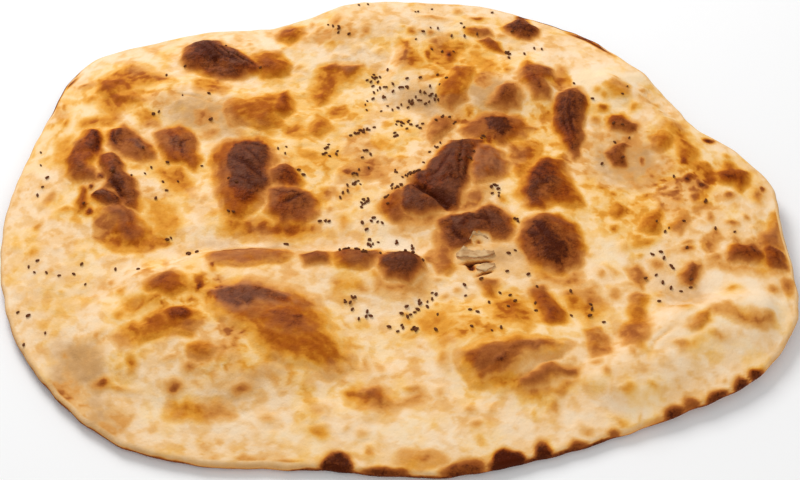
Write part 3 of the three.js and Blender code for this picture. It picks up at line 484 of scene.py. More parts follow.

# Wrinkles and cracks pulled into the crust: run of points, half width, depth, browning. That
# browning darkens each groove, partly as char and partly as painted shade in the fold.
WRINKLES = [
    ([(8, 5), (15, -3), (21, -9), (31, -18)], 2.8, 2.4, 1.1),
    ([(17, -5), (24, -8), (32, -14)], 5.4, 1.6, 1.15),
    ([(15, -4), (18, 0), (21, 4)], 1.4, 0.8, 1.0),
    ([(36, 40), (37, 30), (35, 18), (34, 2)], 1.4, 0.8, 0.97),
    ([(33, 30), (28, 20), (24, 10), (16, 3)], 1.6, 0.7, 0.97),
    ([(40, 24), (38, 10), (35, -2)], 1.4, 0.7, 0.95),
    ([(-118, 120), (-110, 112), (-104, 104), (-100, 98)], 1.5, 1.0, 1.0),
    ([(-112, 125), (-106, 116), (-98, 108), (-86, 101)], 1.6, 1.0, 1.0),
    ([(-104, 123), (-98, 113), (-88, 106), (-78, 101)], 1.3, 0.8, 1.0),
    ([(-86, 38), (-79, 36), (-73, 34), (-68, 30)], 1.5, 0.8, 1.0),
    ([(-88, 24), (-82, 19), (-76, 15), (-70, 8), (-66, 2)], 2.4, 1.2, 1.0),
    ([(-80, 31), (-75, 24), (-69, 15)], 1.4, 0.8, 1.0),
    ([(-86, 6), (-79, 4), (-70, -4)], 1.5, 0.7, 0.97),
    ([(-45, -3), (-51, -8), (-58, -14)], 2.0, 1.0, 0.97),
    ([(-62, -2), (-56, -5), (-48, -3)], 1.4, 0.6, 0.9),
    ([(-110, 42), (-115, 35), (-113, 25)], 1.4, 0.7, 0.92),
    ([(-124, 46), (-119, 38), (-118, 28)], 1.2, 0.5, 0.85),
    ([(-163, 43), (-159, 33), (-158, 22)], 2.0, 0.6, 0.95),
    ([(-153, 45), (-152, 36), (-148, 30)], 2.0, 0.6, 0.96),
    ([(-149, 4), (-143, -3), (-138, -12)], 2.2, 0.9, 0.98),
    ([(-142, -12), (-135, -20), (-130, -32)], 1.5, 0.5, 0.75),
    ([(32, -20), (42, -24), (54, -24)], 1.6, 0.8, 0.95),
    ([(46, -13), (48, -22), (50, -31)], 1.4, 0.8, 0.95),
    ([(28, -26), (32, -34), (38, -38)], 2.4, 0.8, 0.98),
    ([(99, 74), (97, 58), (99, 38)], 1.4, 0.6, 1.0),
    ([(94, 66), (94, 52), (96, 38)], 1.2, 0.5, 0.97),
    ([(72, 14), (77, 6), (82, -2)], 1.5, 0.6, 0.98),
    ([(72, -26), (76, -38), (84, -50)], 2.2, 0.8, 1.0),
    ([(-128, 77), (-112, 74), (-97, 67)], 1.3, 0.6, 0.34),
    ([(58, -128), (66, -119), (80, -114)], 2.4, 1.2, 0.3),
    ([(132, -98), (120, -108), (114, -122)], 1.6, 0.7, 0.3),
    ([(-195, 62), (-190, 79), (-180, 97)], 2.2, 0.2, 0.85),
    ([(102, 135), (114, 126), (122, 117), (129, 107)], 2.2, 0.2, 0.92),
]

# The torn place, where the skin of a blister broke open: browning of the pale crumb, width of its
# soft edge, outline. The cracks in it are given as the wrinkles are.
TORN = [
    (0.24, 3.5, [(31, -44), (38, -40), (50, -40), (60, -40), (66, -48), (64, -58), (54, -62),
        (42, -62), (33, -59), (30, -52)]),
    (0.2, 2, [(39, -36), (42, -32), (48, -32), (50, -36), (45, -40), (40, -39)]),
]
CRACKS = [
    ([(33, -52.5), (38, -51.5), (44, -50.5), (51, -50)], 1.5, 2.0, 1.0),
    ([(37.5, -50.5), (39.5, -57)], 3.0, 2.4, 1.1),
    ([(40, -61), (45, -58.5), (50, -57)], 1.3, 1.5, 0.9),
    ([(43, -36), (43, -39)], 2.6, 0.6, 0.72),
]

# Flakes of crust that curl up there: run along the middle, width, how far the near edge lifts.
FLAKES = [
    ([(31.5, -46.6), (36, -44.4), (43, -45.4), (50.5, -44.2)], 7.6, 1.3),
    ([(38.5, -37), (40.5, -33.5), (44, -32.6), (48, -35)], 1.6, 0.2),
    ([(41, -55), (45.5, -54.5), (50.5, -53)], 5.6, 1.0),
]

# Charred places along the rim: (x, y, half length, half width, turn, browning).
RIM_CHAR = [
    (-24, -171, 8, 8, 0, 0.95), (-6, -174, 12, 3, 0, 0.86), (12, -167, 9, 4, 0, 0.42),
    (31, -173, 9, 5, 8, 0.82), (50, -170, 8, 8, 10, 1), (66, -165, 4, 7, 10, 0.95),
    (81, -161, 4, 4, 20, 0.85), (98, -155, 3, 4, 20, 0.72), (112, -151, 8, 2, 30, 0.6),
    (126, -144, 6, 5, 30, 0.86), (134, -139, 3, 4, 40, 0.7), (145, -136, 6, 4, 40, 0.88),
    (158, -129, 5, 4, 40, 0.92), (167, -122, 4, 4, 45, 0.92), (78, 149, 3, 2, 0, 0.85),
    (170, 34, 2, 2, 0, 0.95), (191, -70, 3, 4, 0, 0.55),
]

# The thin brown line under the rim: bearing, half its length in degrees, how high up the rim's
# side it reaches in mm, browning.
RIM_LINE = [
    (228, 30, 4.7, 0.78), (212, 16, 4.7, 0.68), (262, 12, 4.7, 0.82), (275, 14, 5, 0.86),
    (295, 14, 5.4, 0.88), (315, 14, 4.2, 0.75), (52, 18, 7.3, 0.95), (157, 13, 6.9, 0.86),
    (190, 20, 2.6, 0.55), (345, 14, 2.6, 0.5),
]


# ---------------------------------------------------------------- curves and seeded noise

NOISE_CELLS = 97  # the noise repeats itself after so many cells
NOISE_START = 500.0  # keeps the cells that the bread uses away from 0
NOISE_GAIN = 1.5  # brings the noise to about -1 to 1
LAYERS = [(1.0, 1.0), (0.5, 0.47), (0.25, 0.21)]  # strength and width of layered noise's layers
LAYERS_GAIN = 1.4
PICK, PICKS = 16807, 2147483647  # the CAD part's rule for seeded numbers
CREASE_END = 12.0  # length over which the ends of a crease run out
CREASE_LOW = 0.15  # height of a crease at its very ends, as a share
GROOVE_END = 0.3  # share of a wrinkle's length over which each end runs out
GROOVE_LOW = 0.2  # depth of a wrinkle at its very ends, as a share


def ease(t):
    """Eases from 0 to 1 as t does."""
    t = np.clip(t, 0.0, 1.0)
    return t * t * (3.0 - 2.0 * t)


def around(table, bearing):
    """Reads a table of (bearing, value) as a smooth closed curve."""
    at = np.array([row[0] for row in table], float)
    value = np.array([row[1] for row in table], float)
    at = np.concatenate((at[-1:] - 360.0, at, at[:2] + 360.0))
    value = np.concatenate((value[-1:], value, value[:2]))
    turn = np.mod(bearing - at[1], 360.0) + at[1]
    i = np.searchsorted(at, turn, side="right") - 1
    span = at[i + 1] - at[i]
    t = (turn - at[i]) / span
    slope_in = (value[i + 1] - value[i - 1]) / (at[i + 1] - at[i - 1]) * span
    slope_out = (value[i + 2] - value[i]) / (at[i + 2] - at[i]) * span
    return (
        (2 * t**3 - 3 * t**2 + 1) * value[i]
        + (t**3 - 2 * t**2 + t) * slope_in
        + (3 * t**2 - 2 * t**3) * value[i + 1]
        + (t**3 - t**2) * slope_out
    )


def rough(x, y, span, seed):
    """Smooth noise from about -1 to 1, with one rise to each span of millimetres."""
    cells = (NOISE_CELLS, NOISE_CELLS)
    lean = np.random.default_rng(seed).uniform(0.0, 2.0 * math.pi, cells)
    u, v = x / span + NOISE_START, y / span + NOISE_START
    i, j = np.floor(u).astype(int), np.floor(v).astype(int)
    fu, fv = u - i, v - j

    def corner(di, dj):
        angle = lean[(i + di) % NOISE_CELLS, (j + dj) % NOISE_CELLS]
        return np.cos(angle) * (fu - di) + np.sin(angle) * (fv - dj)

    su = fu**3 * (fu * (6.0 * fu - 15.0) + 10.0)
    sv = fv**3 * (fv * (6.0 * fv - 15.0) + 10.0)
    low = corner(0, 0) * (1 - su) + corner(1, 0) * su
    high = corner(0, 1) * (1 - su) + corner(1, 1) * su
    return NOISE_GAIN * (low * (1 - sv) + high * sv)


def layered(x, y, span, seed):
    """Noise in layers, each about half as wide and as strong as the last."""
    layers = (
        strength * rough(x, y, span * width, seed + i)
        for i, (strength, width) in enumerate(LAYERS)
    )
    return sum(layers) / LAYERS_GAIN


def seeded_numbers(start):
    """Seeded random numbers from 0 to 1, by the CAD part's rule."""
    state = start
    while True:
        state = state * PICK % PICKS
        yield state / PICKS


def fallen(oval, first, second):
    """Where something falls in a turned oval, by two even random numbers."""
    cx, cy, long, wide, turn = oval
    cos, sin = math.cos(math.radians(turn)), math.sin(math.radians(turn))
    out, way = math.sqrt(first), 2 * math.pi * second
    along, across = long * out * math.cos(way), wide * out * math.sin(way)
    return cx + along * cos - across * sin, cy + along * sin + across * cos


def away(x, y, oval):
    """How far out of a turned oval a point is: 0 in its middle, 1 on its edge."""
    cx, cy, long, wide, turn = oval
    cos, sin = math.cos(math.radians(turn)), math.sin(math.radians(turn))
    along = ((x - cx) * cos + (y - cy) * sin) / long
    across = ((y - cy) * cos - (x - cx) * sin) / wide
    return np.hypot(along, across)


def swell(x, y, oval, flatness):
    """A rounded rise: 1 in the middle of an oval, 0 from its edge outwards."""
    return (1.0 - np.minimum(1.0, away(x, y, oval)) ** flatness) ** 2


def along_run(x, y, run):
    """Distance to a run of points, whether the point is on its left, how far along, its length."""
    nearest = np.full_like(x, np.inf)
    on_left = np.zeros(x.shape, bool)
    place = np.zeros_like(x)
    walked = 0.0
    for (ax, ay), (bx, by) in zip(run, run[1:]):
        step = math.hypot(bx - ax, by - ay)
        ux, uy = (bx - ax) / step, (by - ay) / step
        along = np.clip((x - ax) * ux + (y - ay) * uy, 0.0, step)
        gap = np.hypot(x - ax - ux * along, y - ay - uy * along)
        closer = gap < nearest
        nearest = np.where(closer, gap, nearest)
        on_left = np.where(closer, ux * (y - ay) - uy * (x - ax) > 0, on_left)
        place = np.where(closer, walked + along, place)
        walked += step
    return nearest, on_left, place, walked


def crease(x, y, run, left, right):
    """A long rise along a run of points: 1 on it, 0 at its slopes' feet, low at both ends."""
    nearest, on_left, place, length = along_run(x, y, run)
    width = np.where(on_left, left, right)
    start, end = ease(place / CREASE_END), ease((length - place) / CREASE_END)
    ends = CREASE_LOW + (1.0 - CREASE_LOW) * start * end
    return ends * (1.0 - np.minimum(1.0, nearest / width) ** 2) ** 2


def groove(x, y, run, half_width):
    """1 along a thin wrinkle, fading to 0 at its sides and ends."""
    nearest, _, place, length = along_run(x, y, run)
    end = GROOVE_END * length
    ends = ease(place / end) * ease((length - place) / end)
    return (GROOVE_LOW + (1.0 - GROOVE_LOW) * ends) * (1.0 - ease(nearest / half_width))


def depth_inside(x, y, outline):
    """How deep inside a closed outline a point is; negative outside it."""
    nearest = np.full_like(x, np.inf)
    within = np.zeros(x.shape, bool)
    for (ax, ay), (bx, by) in zip(outline, outline[1:] + outline[:1]):
        run, climb = bx - ax, by - ay
        along = np.clip(((x - ax) * run + (y - ay) * climb) / (run**2 + climb**2), 0.0, 1.0)
        nearest = np.minimum(nearest, np.hypot(x - ax - along * run, y - ay - along * climb))
        level = (ay > y) != (by > y)
        within ^= level & (x < ax + (y - ay) * run / (climb or 1.0))
    return np.where(within, nearest, -nearest)


# ---------------------------------------------------------------- how far the crust has browned

# Noise over the crust: width of its features, seed.
WIDE_FLECKS = (15.0, 41)
FLECKS = (6.8, 45)
DOUGH_NOISE = (30.0, 48)
MOTTLE = (4.2, 55)
BROAD_MOTTLE = (9.0, 57)

# How the edges of all patches wander: how far, width of one bend. Each has its own seeds.
WANDER = [(1.6, 9.0), (0.7, 4.6), (0.25, 2.6)]
WANDER_SEEDS = (21, 31)  # along X, along Y
DRIFT = 7.0  # how far the edges of the grey and the gilded places wander
DRIFT_SPAN = 21.0
DRIFT_SEEDS = (101, 102)

# The dough between the patches.
DOUGH = 0.08  # browning of the palest dough
WIDE_FLECK_TONE = 0.12  # how much each kind of its noise adds to that
FLECK_TONE = 0.14
DOUGH_NOISE_TONE = 0.05
FLECKED_FROM, FLECKED_BY = -0.1, 0.4  # noise at which a fleck starts, and eases in
WIDE_FLECKED_FROM, WIDE_FLECKED_BY = -0.25, 0.5
GREY_CALM = 0.75  # share of the flecks that is lost where the dough is grey
GOLD_EVEN = 0.65  # share of a golden place that is even, then what the flecks add to it
GOLD_FLECKS, GOLD_WIDE_FLECKS = 0.45, 0.2
SOFT_FADE = 2.0  # how flat the middles of its golden and grey places are
GOLD_FADE = 2.4  # the same for the gilded places

# The browned patches, whose depths and widths are in mm.
REACH_OUT = 11.0  # how far beyond its edge a patch or spot can still show
SKIN = 0.52  # browning of a patch's skin, out of which its dark core grows
BLISTERED = 0.56  # patches browned further than this are crisp, raised blisters
CORE_SHARE = 0.82  # how much of a table's browning above SKIN shows
PALE_BOOST = 0.07  # what patches paler than SKIN gain
FRINGE = 4.6  # width of the gold fringe round a patch
FRINGE_VARY = 1.6
FRINGE_TONE = 0.38  # the most that the fringe is browned
FRINGE_SHARE = 0.6  # the most of a patch's own browning that its fringe has
FRINGE_FULL = 1.2  # how far beyond its edge the fringe is full
CRISP = 1.8  # width of the edge of a blister's skin
CRISP_BELOW = 6  # patches whose browning takes longer than this stay soft
SKIN_OUT, CORE_OUT = 1.8, 0.8  # how far beyond the edge the skin and the core start
BLISTER_EDGE, PALE_EDGE = 0.3, 0.6  # how far the mottle moves the edge
WITHIN_FROM, WITHIN_BY = -1.0, 3.0  # depth at which the inner tones start, and ease in
MIDDLE_TONE, MIDDLE_DEPTH = 0.09, 7.0  # how much browner a patch gets towards its middle
BORDER_PALER = 0.04
STREAK_TONE, BLISTER_MOTTLE = 0.09, 0.05  # how much the noise shows on blisters
PALE_MOTTLE, PALE_FLECKS = 0.14, 0.16  # and on paler patches
SHEEN_AND_GLOSS_DEPTH = 4.0  # depth at which the painted sheen and the gloss are full
BLISTER_LIFT, PALE_LIFT = 2.6, 0.6  # height of a patch that has browned to black
LIFT_FROM, LIFT_WIDTH = -1.0, 8.0  # depth at which a patch starts to rise, and over which it does
LIFT_CROWN = 2.4  # how flat its crown is
STREAK_DRAW = 3.2  # how many times longer than wide the streaks on a blister are
STREAK_SPAN = 3.4
STREAK_SEED = 200  # seed of the first patch's streaks
TORN_MOTTLE = 0.12

# The small spots.
SPOTS_SEED = 63
LEAST_SPOT, SPOT_VARY = 0.6, 0.9  # a spot's half width, as shares of the mean one
SPOT_STRETCH = 0.6  # how much longer than wide a spot can be
SPOT_LIFT = 0.5
SPOT_GLOW, SPOT_CORE = 0.45, 0.55  # shares of a spot's browning in its glow and in its core
SPOT_BOOST = 0.08
SPOT_MOTTLE = 0.2
GLOW_WIDTH = 4.0  # how far beyond its edge a spot glows


def warped(x, y):
    """Wanders a point, so that no blister keeps its oval outline."""
    dx, dy = (
        sum(far * rough(x, y, span, seed + i) for i, (far, span) in enumerate(WANDER))
        for seed in WANDER_SEEDS
    )
    return x + dx, y + dy


def scattered_spots():
    """The many small golden blisters: ovals with how far each has browned."""
    random = np.random.default_rng(SPOTS_SEED)
    spots = []
    for *oval, count, size, low, high in SPOTTED:
        for _ in range(count):
            x, y = fallen(oval, random.random(), random.random())
            half = size * (LEAST_SPOT + SPOT_VARY * random.random() ** 2)
            half_length = half * (1.0 + SPOT_STRETCH * random.random())
            heading = 180.0 * random.random()
            spots.append((x, y, half_length, half, heading, low + (high - low) * random.random()))
    return spots


SPOTS = scattered_spots()


def lie_of(outline):
    """Middle of an outline and the direction in which it is longest, as its cosine and sine."""
    points = np.array(outline, float)
    cx, cy = points.mean(axis=0)
    dx, dy = points[:, 0] - cx, points[:, 1] - cy
    turn = 0.5 * math.atan2(2.0 * (dx * dy).sum(), (dx * dx).sum() - (dy * dy).sum())
    return cx, cy, math.cos(turn), math.sin(turn)


def streaks(x, y, outline, seed):
    """Noise drawn out along an outline, from about -1 to 1."""
    cx, cy, cos, sin = lie_of(outline)
    along, across = (x - cx) * cos + (y - cy) * sin, (y - cy) * cos - (x - cx) * sin
    return layered(along / STREAK_DRAW, across, STREAK_SPAN, seed)


def dough(x, y, wx, wy):
    """The dough between the patches: its browning, its grey of painted shade and dry dough, gold
    and flecks.
    """
    wide_flecks = ease((layered(wx, wy, *WIDE_FLECKS) - WIDE_FLECKED_FROM) / WIDE_FLECKED_BY)
    flecks = ease((layered(wx, wy, *FLECKS) - FLECKED_FROM) / FLECKED_BY)
    far_x, far_y = (
        at + DRIFT * rough(x, y, DRIFT_SPAN, seed) for at, seed in zip((x, y), DRIFT_SEEDS)
    )
    grey, gold = np.zeros_like(x), np.zeros_like(x)
    # Painted shade, with some dry dough, greys these places.
    for *oval, amount in SHADED_AND_DRY_PLACES:
        grey = np.maximum(grey, amount * swell(far_x, far_y, oval, SOFT_FADE))
    for oval in GILDED:
        gold = np.maximum(gold, swell(far_x, far_y, oval, GOLD_FADE))
    flecks *= 1.0 - GREY_CALM * np.minimum(1.0, grey)
    bake = DOUGH + WIDE_FLECK_TONE * wide_flecks + FLECK_TONE * flecks
    bake = bake + DOUGH_NOISE_TONE * layered(x, y, *DOUGH_NOISE)
    flecked = GOLD_EVEN + GOLD_FLECKS * flecks + GOLD_WIDE_FLECKS * wide_flecks
    for *oval, amount in GOLDEN:
        bake += amount * swell(x, y, oval, SOFT_FADE) * flecked
    return bake, grey, gold, flecks


def spot(wx, wy, oval, peak):
    """Browning and lift of one small spot at points near it."""
    half = min(oval[2], oval[3])
    inside = (1.0 - away(wx, wy, oval)) * half
    glow = SPOT_GLOW * peak * ease((inside + GLOW_WIDTH) / GLOW_WIDTH)
    core = (SPOT_CORE * peak + SPOT_BOOST) * ease((inside + CORE_OUT) / (1.0 + 0.9 * half))
    return glow + core, SPOT_LIFT * ease(0.5 + inside / 3.0)


def fired(inside, peak, soft, fringe):
    """Tone of a patch at a depth inside its edge: a gold fringe, then browner inwards."""
    glow = min(FRINGE_TONE, FRINGE_SHARE * peak)
    around_it = glow * ease((inside + fringe) / (fringe - FRINGE_FULL))
    crisp = CRISP if peak > BLISTERED and soft < CRISP_BELOW else soft
    skin = (min(peak, SKIN) - glow) * ease((inside + SKIN_OUT) / crisp)
    core = max(0.0, peak - SKIN) * ease((inside + CORE_OUT) / soft)
    return around_it + skin + core


def patch(wx, wy, row, seed, mottle, broad_mottle, flecks):
    """Browning, painted sheen with its gloss, and lift of one patch at points near it."""
    peak, soft, patch_sheen_and_gloss, outline = row
    blister = peak > BLISTERED
    inside = depth_inside(wx, wy, outline) + (BLISTER_EDGE if blister else PALE_EDGE) * mottle
    fringe = FRINGE + FRINGE_VARY * broad_mottle
    darkest = SKIN + CORE_SHARE * (peak - SKIN) if peak > SKIN else peak + PALE_BOOST
    tone = fired(inside, darkest, soft, fringe)
    within = ease((inside - WITHIN_FROM) / WITHIN_BY)
    tone += (MIDDLE_TONE * ease(inside / MIDDLE_DEPTH) - BORDER_PALER) * within
    if blister:
        drawn = streaks(wx, wy, outline, seed)
        tone += (STREAK_TONE * drawn + BLISTER_MOTTLE * mottle) * within
    else:
        tone *= 1.0 + PALE_MOTTLE * mottle + PALE_FLECKS * (flecks - 0.5)
    crown = 1.0 - (1.0 - np.clip((inside - LIFT_FROM) / LIFT_WIDTH, 0.0, 1.0)) ** LIFT_CROWN
    lift = (BLISTER_LIFT if blister else PALE_LIFT) * peak * crown
    return tone, patch_sheen_and_gloss * ease(inside / SHEEN_AND_GLOSS_DEPTH), lift


def beside(x, y, outline):
    """Which points lie near enough to an outline for its patch to show."""
    low_x, low_y = (min(p[i] for p in outline) - REACH_OUT for i in (0, 1))
    high_x, high_y = (max(p[i] for p in outline) + REACH_OUT for i in (0, 1))
    return np.flatnonzero((x > low_x) & (x < high_x) & (y > low_y) & (y < high_y))


def browning(x, y):
    """How far the upper crust has browned, its painted purplish sheen and gloss, its grey of
    painted shade and dry dough, gold and lift.
    """
    wx, wy = warped(x, y)
    bake, grey, gold, flecks = dough(x, y, wx, wy)
    mottle = layered(wx, wy, *MOTTLE)
    broad_mottle = np.clip(layered(x, y, *BROAD_MOTTLE), -1.0, 1.0)
    gloss, lift = np.zeros_like(x), np.zeros_like(x)

    for *oval, peak in SPOTS + MARKS:
        reach = max(oval[2], oval[3]) + REACH_OUT
        near = np.flatnonzero(np.hypot(x - oval[0], y - oval[1]) < reach)
        tone, rise = spot(wx[near], wy[near], oval, peak)
        bake[near] = np.maximum(bake[near], tone * (1.0 + SPOT_MOTTLE * mottle[near]))
        lift[near] = np.maximum(lift[near], rise)

    for seed, row in enumerate(PATCHES, STREAK_SEED):
        *_, outline = row
        near = beside(x, y, outline)
        noise = mottle[near], broad_mottle[near], flecks[near]
        tone, patch_sheen_and_gloss, rise = patch(wx[near], wy[near], row, seed, *noise)
        bake[near] = np.maximum(bake[near], tone)
        gloss[near] = np.maximum(gloss[near], patch_sheen_and_gloss)
        lift[near] = np.maximum(lift[near], rise)

    for tone, soft, outline in TORN:
        bare = ease(0.5 + depth_inside(x, y, outline) / soft)
        bake += (tone + TORN_MOTTLE * np.maximum(0.0, mottle) - bake) * bare
        gloss *= 1.0 - bare
        lift *= 1.0 - bare
    # The dark line along each wrinkle and crack is partly char and partly painted shade.
    for run, half_width, _, tone in WRINKLES + CRACKS:
        line = groove(x, y, run, half_width)
        bake += (np.maximum(tone, bake) - bake) * line
        gloss *= 1.0 - line
    return bake, gloss, grey, gold, lift


# ---------------------------------------------------------------- the bread's two faces

BLISTER_SHARE = 0.5  # share of a blister's height that its oval gives; its browning lifts the rest
BLISTER_CROWN = 2.6  # how flat its crown is
CRUSTED_FROM, CRUSTED_BY = 0.55, 0.3  # browning at which the crust starts to wrinkle, and eases in
RIDGES = (6.5, 61)  # width of the browned crust's broad folds, their seed, and their height
RIDGE_HIGH = 0.6
FOLDS = (3.6, 62)  # the same for its finer folds
FOLD_HIGH = 0.35
FOLD_LEVEL = 0.7  # share of a fold that lies below the crust
GRAIN = (6.0, 64)  # the low grain of all the crust
GRAIN_HIGH = 0.25
UNEVEN_SEED = 11


def rim_beyond(x, y):
    """Reach and rise of the rim on the bearing of a point, and how far out the point is."""
    bearing = np.degrees(np.arctan2(y, x))
    return around(REACH, bearing), np.hypot(x, y), np.maximum(0.0, around(RISE, bearing))


def underside(x, y):
    """Height of the underside: flat on the table in the middle, lifted towards the rim."""
    reach, out, rise = rim_beyond(x, y)
    return rise * ease((out / reach - LIFT_START) / (1.0 - LIFT_START))


def topside(x, y, tones=None):
    """Height of the upper crust; tones are what browning gives, where it is known already."""
    reach, out, _ = rim_beyond(x, y)
    inward = reach - out
    broad = UNEVEN * rough(x, y, UNEVEN_SPAN, UNEVEN_SEED)
    for *oval, high, flatness in PUFFS:
        broad += high * swell(x, y, oval, flatness)
    for run, left, right, high in CREASES:
        broad += high * crease(x, y, run, left, right)
    wx, wy = warped(x, y)
    fine = np.zeros_like(x)
    for *oval, high in BLISTERS:
        fine = np.maximum(fine, BLISTER_SHARE * high * swell(wx, wy, oval, BLISTER_CROWN))
    bake, _, _, _, lift = tones or browning(x, y)
    fine += lift
    crusted = ease((bake - CRUSTED_FROM) / CRUSTED_BY)
    ridges = 1.0 - np.abs(rough(wx, wy, *RIDGES))
    folds = 1.0 - np.abs(rough(wx, wy, *FOLDS))
    fine += crusted * (RIDGE_HIGH * (ridges - FOLD_LEVEL) + FOLD_HIGH * (folds - FOLD_LEVEL))
    fine += GRAIN_HIGH * layered(x, y, *GRAIN)
    for run, half_width, depth, _ in WRINKLES + CRACKS:
        fine -= depth * groove(x, y, run, half_width)
    thick = EDGE + (CRUMB - EDGE) * ease(inward / TAPER)
    return (
        underside(x, y)
        + thick
        + broad * ease(inward / PUFF_FADE)
        + fine * ease(inward / BLISTER_FADE)
    )


# ---------------------------------------------------------------- the dough, pressed flat

BALL_CUTS = 6
TOP_CUTS = 3  # further cuts of each edge on the half that becomes the upper crust
TOP_FROM = -0.06  # height on the ball above which its edges get them
RIM_AT = math.radians(90.0)
RIM_BAND = math.radians(4.6)  # the band of the ball that becomes the rounded rim
RIM_WOBBLE = 0.8  # how unevenly the rim runs round
WOBBLE_ROUND = 160  # radius of the circle on which the wobble's noise is read
WOBBLE = (9.0, 71)

# The rim's tones. How far round the rim a point lies is an angle: 0 on top, pi underneath.
RIM_NOISE = (8.0, 81)
RIM_TONE = 0.22
RIM_NOISE_TONE = 0.1
SIDE_TONE = 0.5  # how much browner the rim's outer side gets
SIDE_FROM, SIDE_OVER = 0.7, 1.9
LINE_NOISE = 0.7  # how unevenly the brown line under the rim ends
LINE_SOFT = 1.6
LINE_FULL = 1.5  # how soon along its arc the line has its full height
FAR_ABOVE = 99.0  # stands for the height of points on the upper crust, which the line never reaches
CHAR_GLOW = 0.45
CHAR_OUT, CHAR_OVER = 1.6, 3.2  # how far beyond its edge the char starts, and over which it grows
RIM_SHADE, RIM_SHADE_OVER = 0.7, 1.4  # painted shade on the rim's side: how grey it is, and the angle it takes to be so

# The underside's tones.
BASE_TONE = 0.34
BASE_BROAD, BASE_BROAD_TONE = (24.0, 91), 0.2  # each kind of its noise, and what it adds
BASE_FINE, BASE_FINE_TONE = (7.0, 95), 0.12
BASE_SPOTS, BASE_SPOT_TONE = (15.0, 97), 0.35
BASE_SPOTS_FROM, BASE_SPOTS_BY = 0.35, 0.3
BASE_GREY = 0.35

TONES = ("bake", "gloss", "grey", "gold")  # what each point of the crust tells its finish


def ball_of_dough():
    """A round ball, cut finely on its upper half."""
    ball = bmesh.new()
    bmesh.ops.create_icosphere(ball, subdivisions=BALL_CUTS, radius=1.0)
    upper = [edge for edge in ball.edges if min(v.co.z for v in edge.verts) > TOP_FROM]
    bmesh.ops.subdivide_edges(ball, edges=upper, cuts=TOP_CUTS, use_grid_fill=True)
    bmesh.ops.triangulate(ball, faces=[face for face in ball.faces if len(face.verts) > 3])
    return ball


def pressed(points):
    """Takes the ball's points to their places on the bread, in millimetres, with their tones."""
    points = points / np.linalg.norm(points, axis=1)[:, None]
    from_top = np.arccos(np.clip(points[:, 2], -1.0, 1.0))
    way = np.arctan2(points[:, 1], points[:, 0])
    wobble = RIM_WOBBLE * rough(WOBBLE_ROUND * np.cos(way), WOBBLE_ROUND * np.sin(way), *WOBBLE)
    flank = around(REACH, np.degrees(way)) - EDGE / 2 + wobble
    start, end = RIM_AT - RIM_BAND / 2, RIM_AT + RIM_BAND / 2
    on_top, below = from_top <= start, from_top >= end
    rounding = np.clip((from_top - start) / (end - start), 0.0, 1.0) * math.pi
    out = flank + EDGE / 2 * np.sin(rounding)
    out = np.where(on_top, flank * np.sin(from_top / 2) / math.sin(start / 2), out)
    out = np.where(below, flank * np.cos(from_top / 2) / math.cos(end / 2), out)
    x, y = out * np.cos(way), out * np.sin(way)
    low = underside(x, y)
    tones = browning(x, y)
    round_rim = low + EDGE / 2 * (1.0 + np.cos(rounding))
    z = np.where(on_top, topside(x, y, tones), np.where(below, low, round_rim))
    places = np.stack((x, y, z), axis=1)
    return places, rim_and_below(x, y, tones, on_top, below, np.degrees(way), rounding)


def rim_tone(x, y, on_top, bearing, rounding):
    """How far the rim has browned, with the brown line under it and its charred places."""
    noise = layered(x, y, *RIM_NOISE)
    side = ease((rounding - SIDE_FROM) / SIDE_OVER)
    rim = np.where(on_top, 0.0, RIM_TONE + RIM_NOISE_TONE * noise + SIDE_TONE * side)
    height = EDGE / 2 * (math.pi - rounding) * (rounding > 0.0) + FAR_ABOVE * on_top
    for at, half, reach_up, tone in RIM_LINE:
        turn = np.abs(np.mod(bearing - at + 180.0, 360.0) - 180.0)
        limit = reach_up * ease(LINE_FULL * (1.0 - turn / half)) + LINE_NOISE * noise
        line = tone * ease(0.5 + (limit - height) / LINE_SOFT) * (turn < half)
        rim = np.maximum(rim, line)
    wx, wy = warped(x, y)
    for *oval, tone in RIM_CHAR:
        inside = (1.0 - away(wx, wy, oval)) * min(oval[2], oval[3])
        glow = min(tone, CHAR_GLOW) * ease((inside + GLOW_WIDTH) / GLOW_WIDTH)
        core = max(0.0, tone - CHAR_GLOW) * ease((inside + CHAR_OUT) / CHAR_OVER)
        rim = np.maximum(rim, glow + core)
    return rim


def rim_and_below(x, y, tones, on_top, below, bearing, rounding):
    """Browning, painted sheen and gloss, grey of painted shade and dry dough, and gold at every
    point, with the rim and the underside.
    """
    bake, gloss, grey, gold, _ = tones
    rim = rim_tone(x, y, on_top, bearing, rounding)
    bake = np.where(on_top, np.maximum(bake, rim), rim)
    base = BASE_TONE + BASE_BROAD_TONE * layered(x, y, *BASE_BROAD)
    base = base + BASE_FINE_TONE * layered(x, y, *BASE_FINE)
    spots = ease((layered(x, y, *BASE_SPOTS) - BASE_SPOTS_FROM) / BASE_SPOTS_BY)
    bake = np.where(below, base + BASE_SPOT_TONE * spots, bake)
    gloss = np.where(below, 0.0, gloss * np.cos(rounding / 2))
    # Painted shade greys the rim's side.
    shaded_rim = np.maximum(grey, RIM_SHADE * ease(rounding / RIM_SHADE_OVER))
    grey = np.where(below, BASE_GREY, shaded_rim)
    return [np.clip(values, 0.0, 1.0) for values in (bake, gloss, grey, gold)]


def mesh_object(name, body, material, smooth=True):
    """A finished bmesh as an object at the origin."""
    mesh = bpy.data.meshes.new(name)
    body.to_mesh(mesh)
    body.free()
    mesh.materials.append(material)
    mesh.polygons.foreach_set("use_smooth", [smooth] * len(mesh.polygons))
    piece = bpy.data.objects.new(name, mesh)
    bpy.context.scene.collection.objects.link(piece)
    return piece


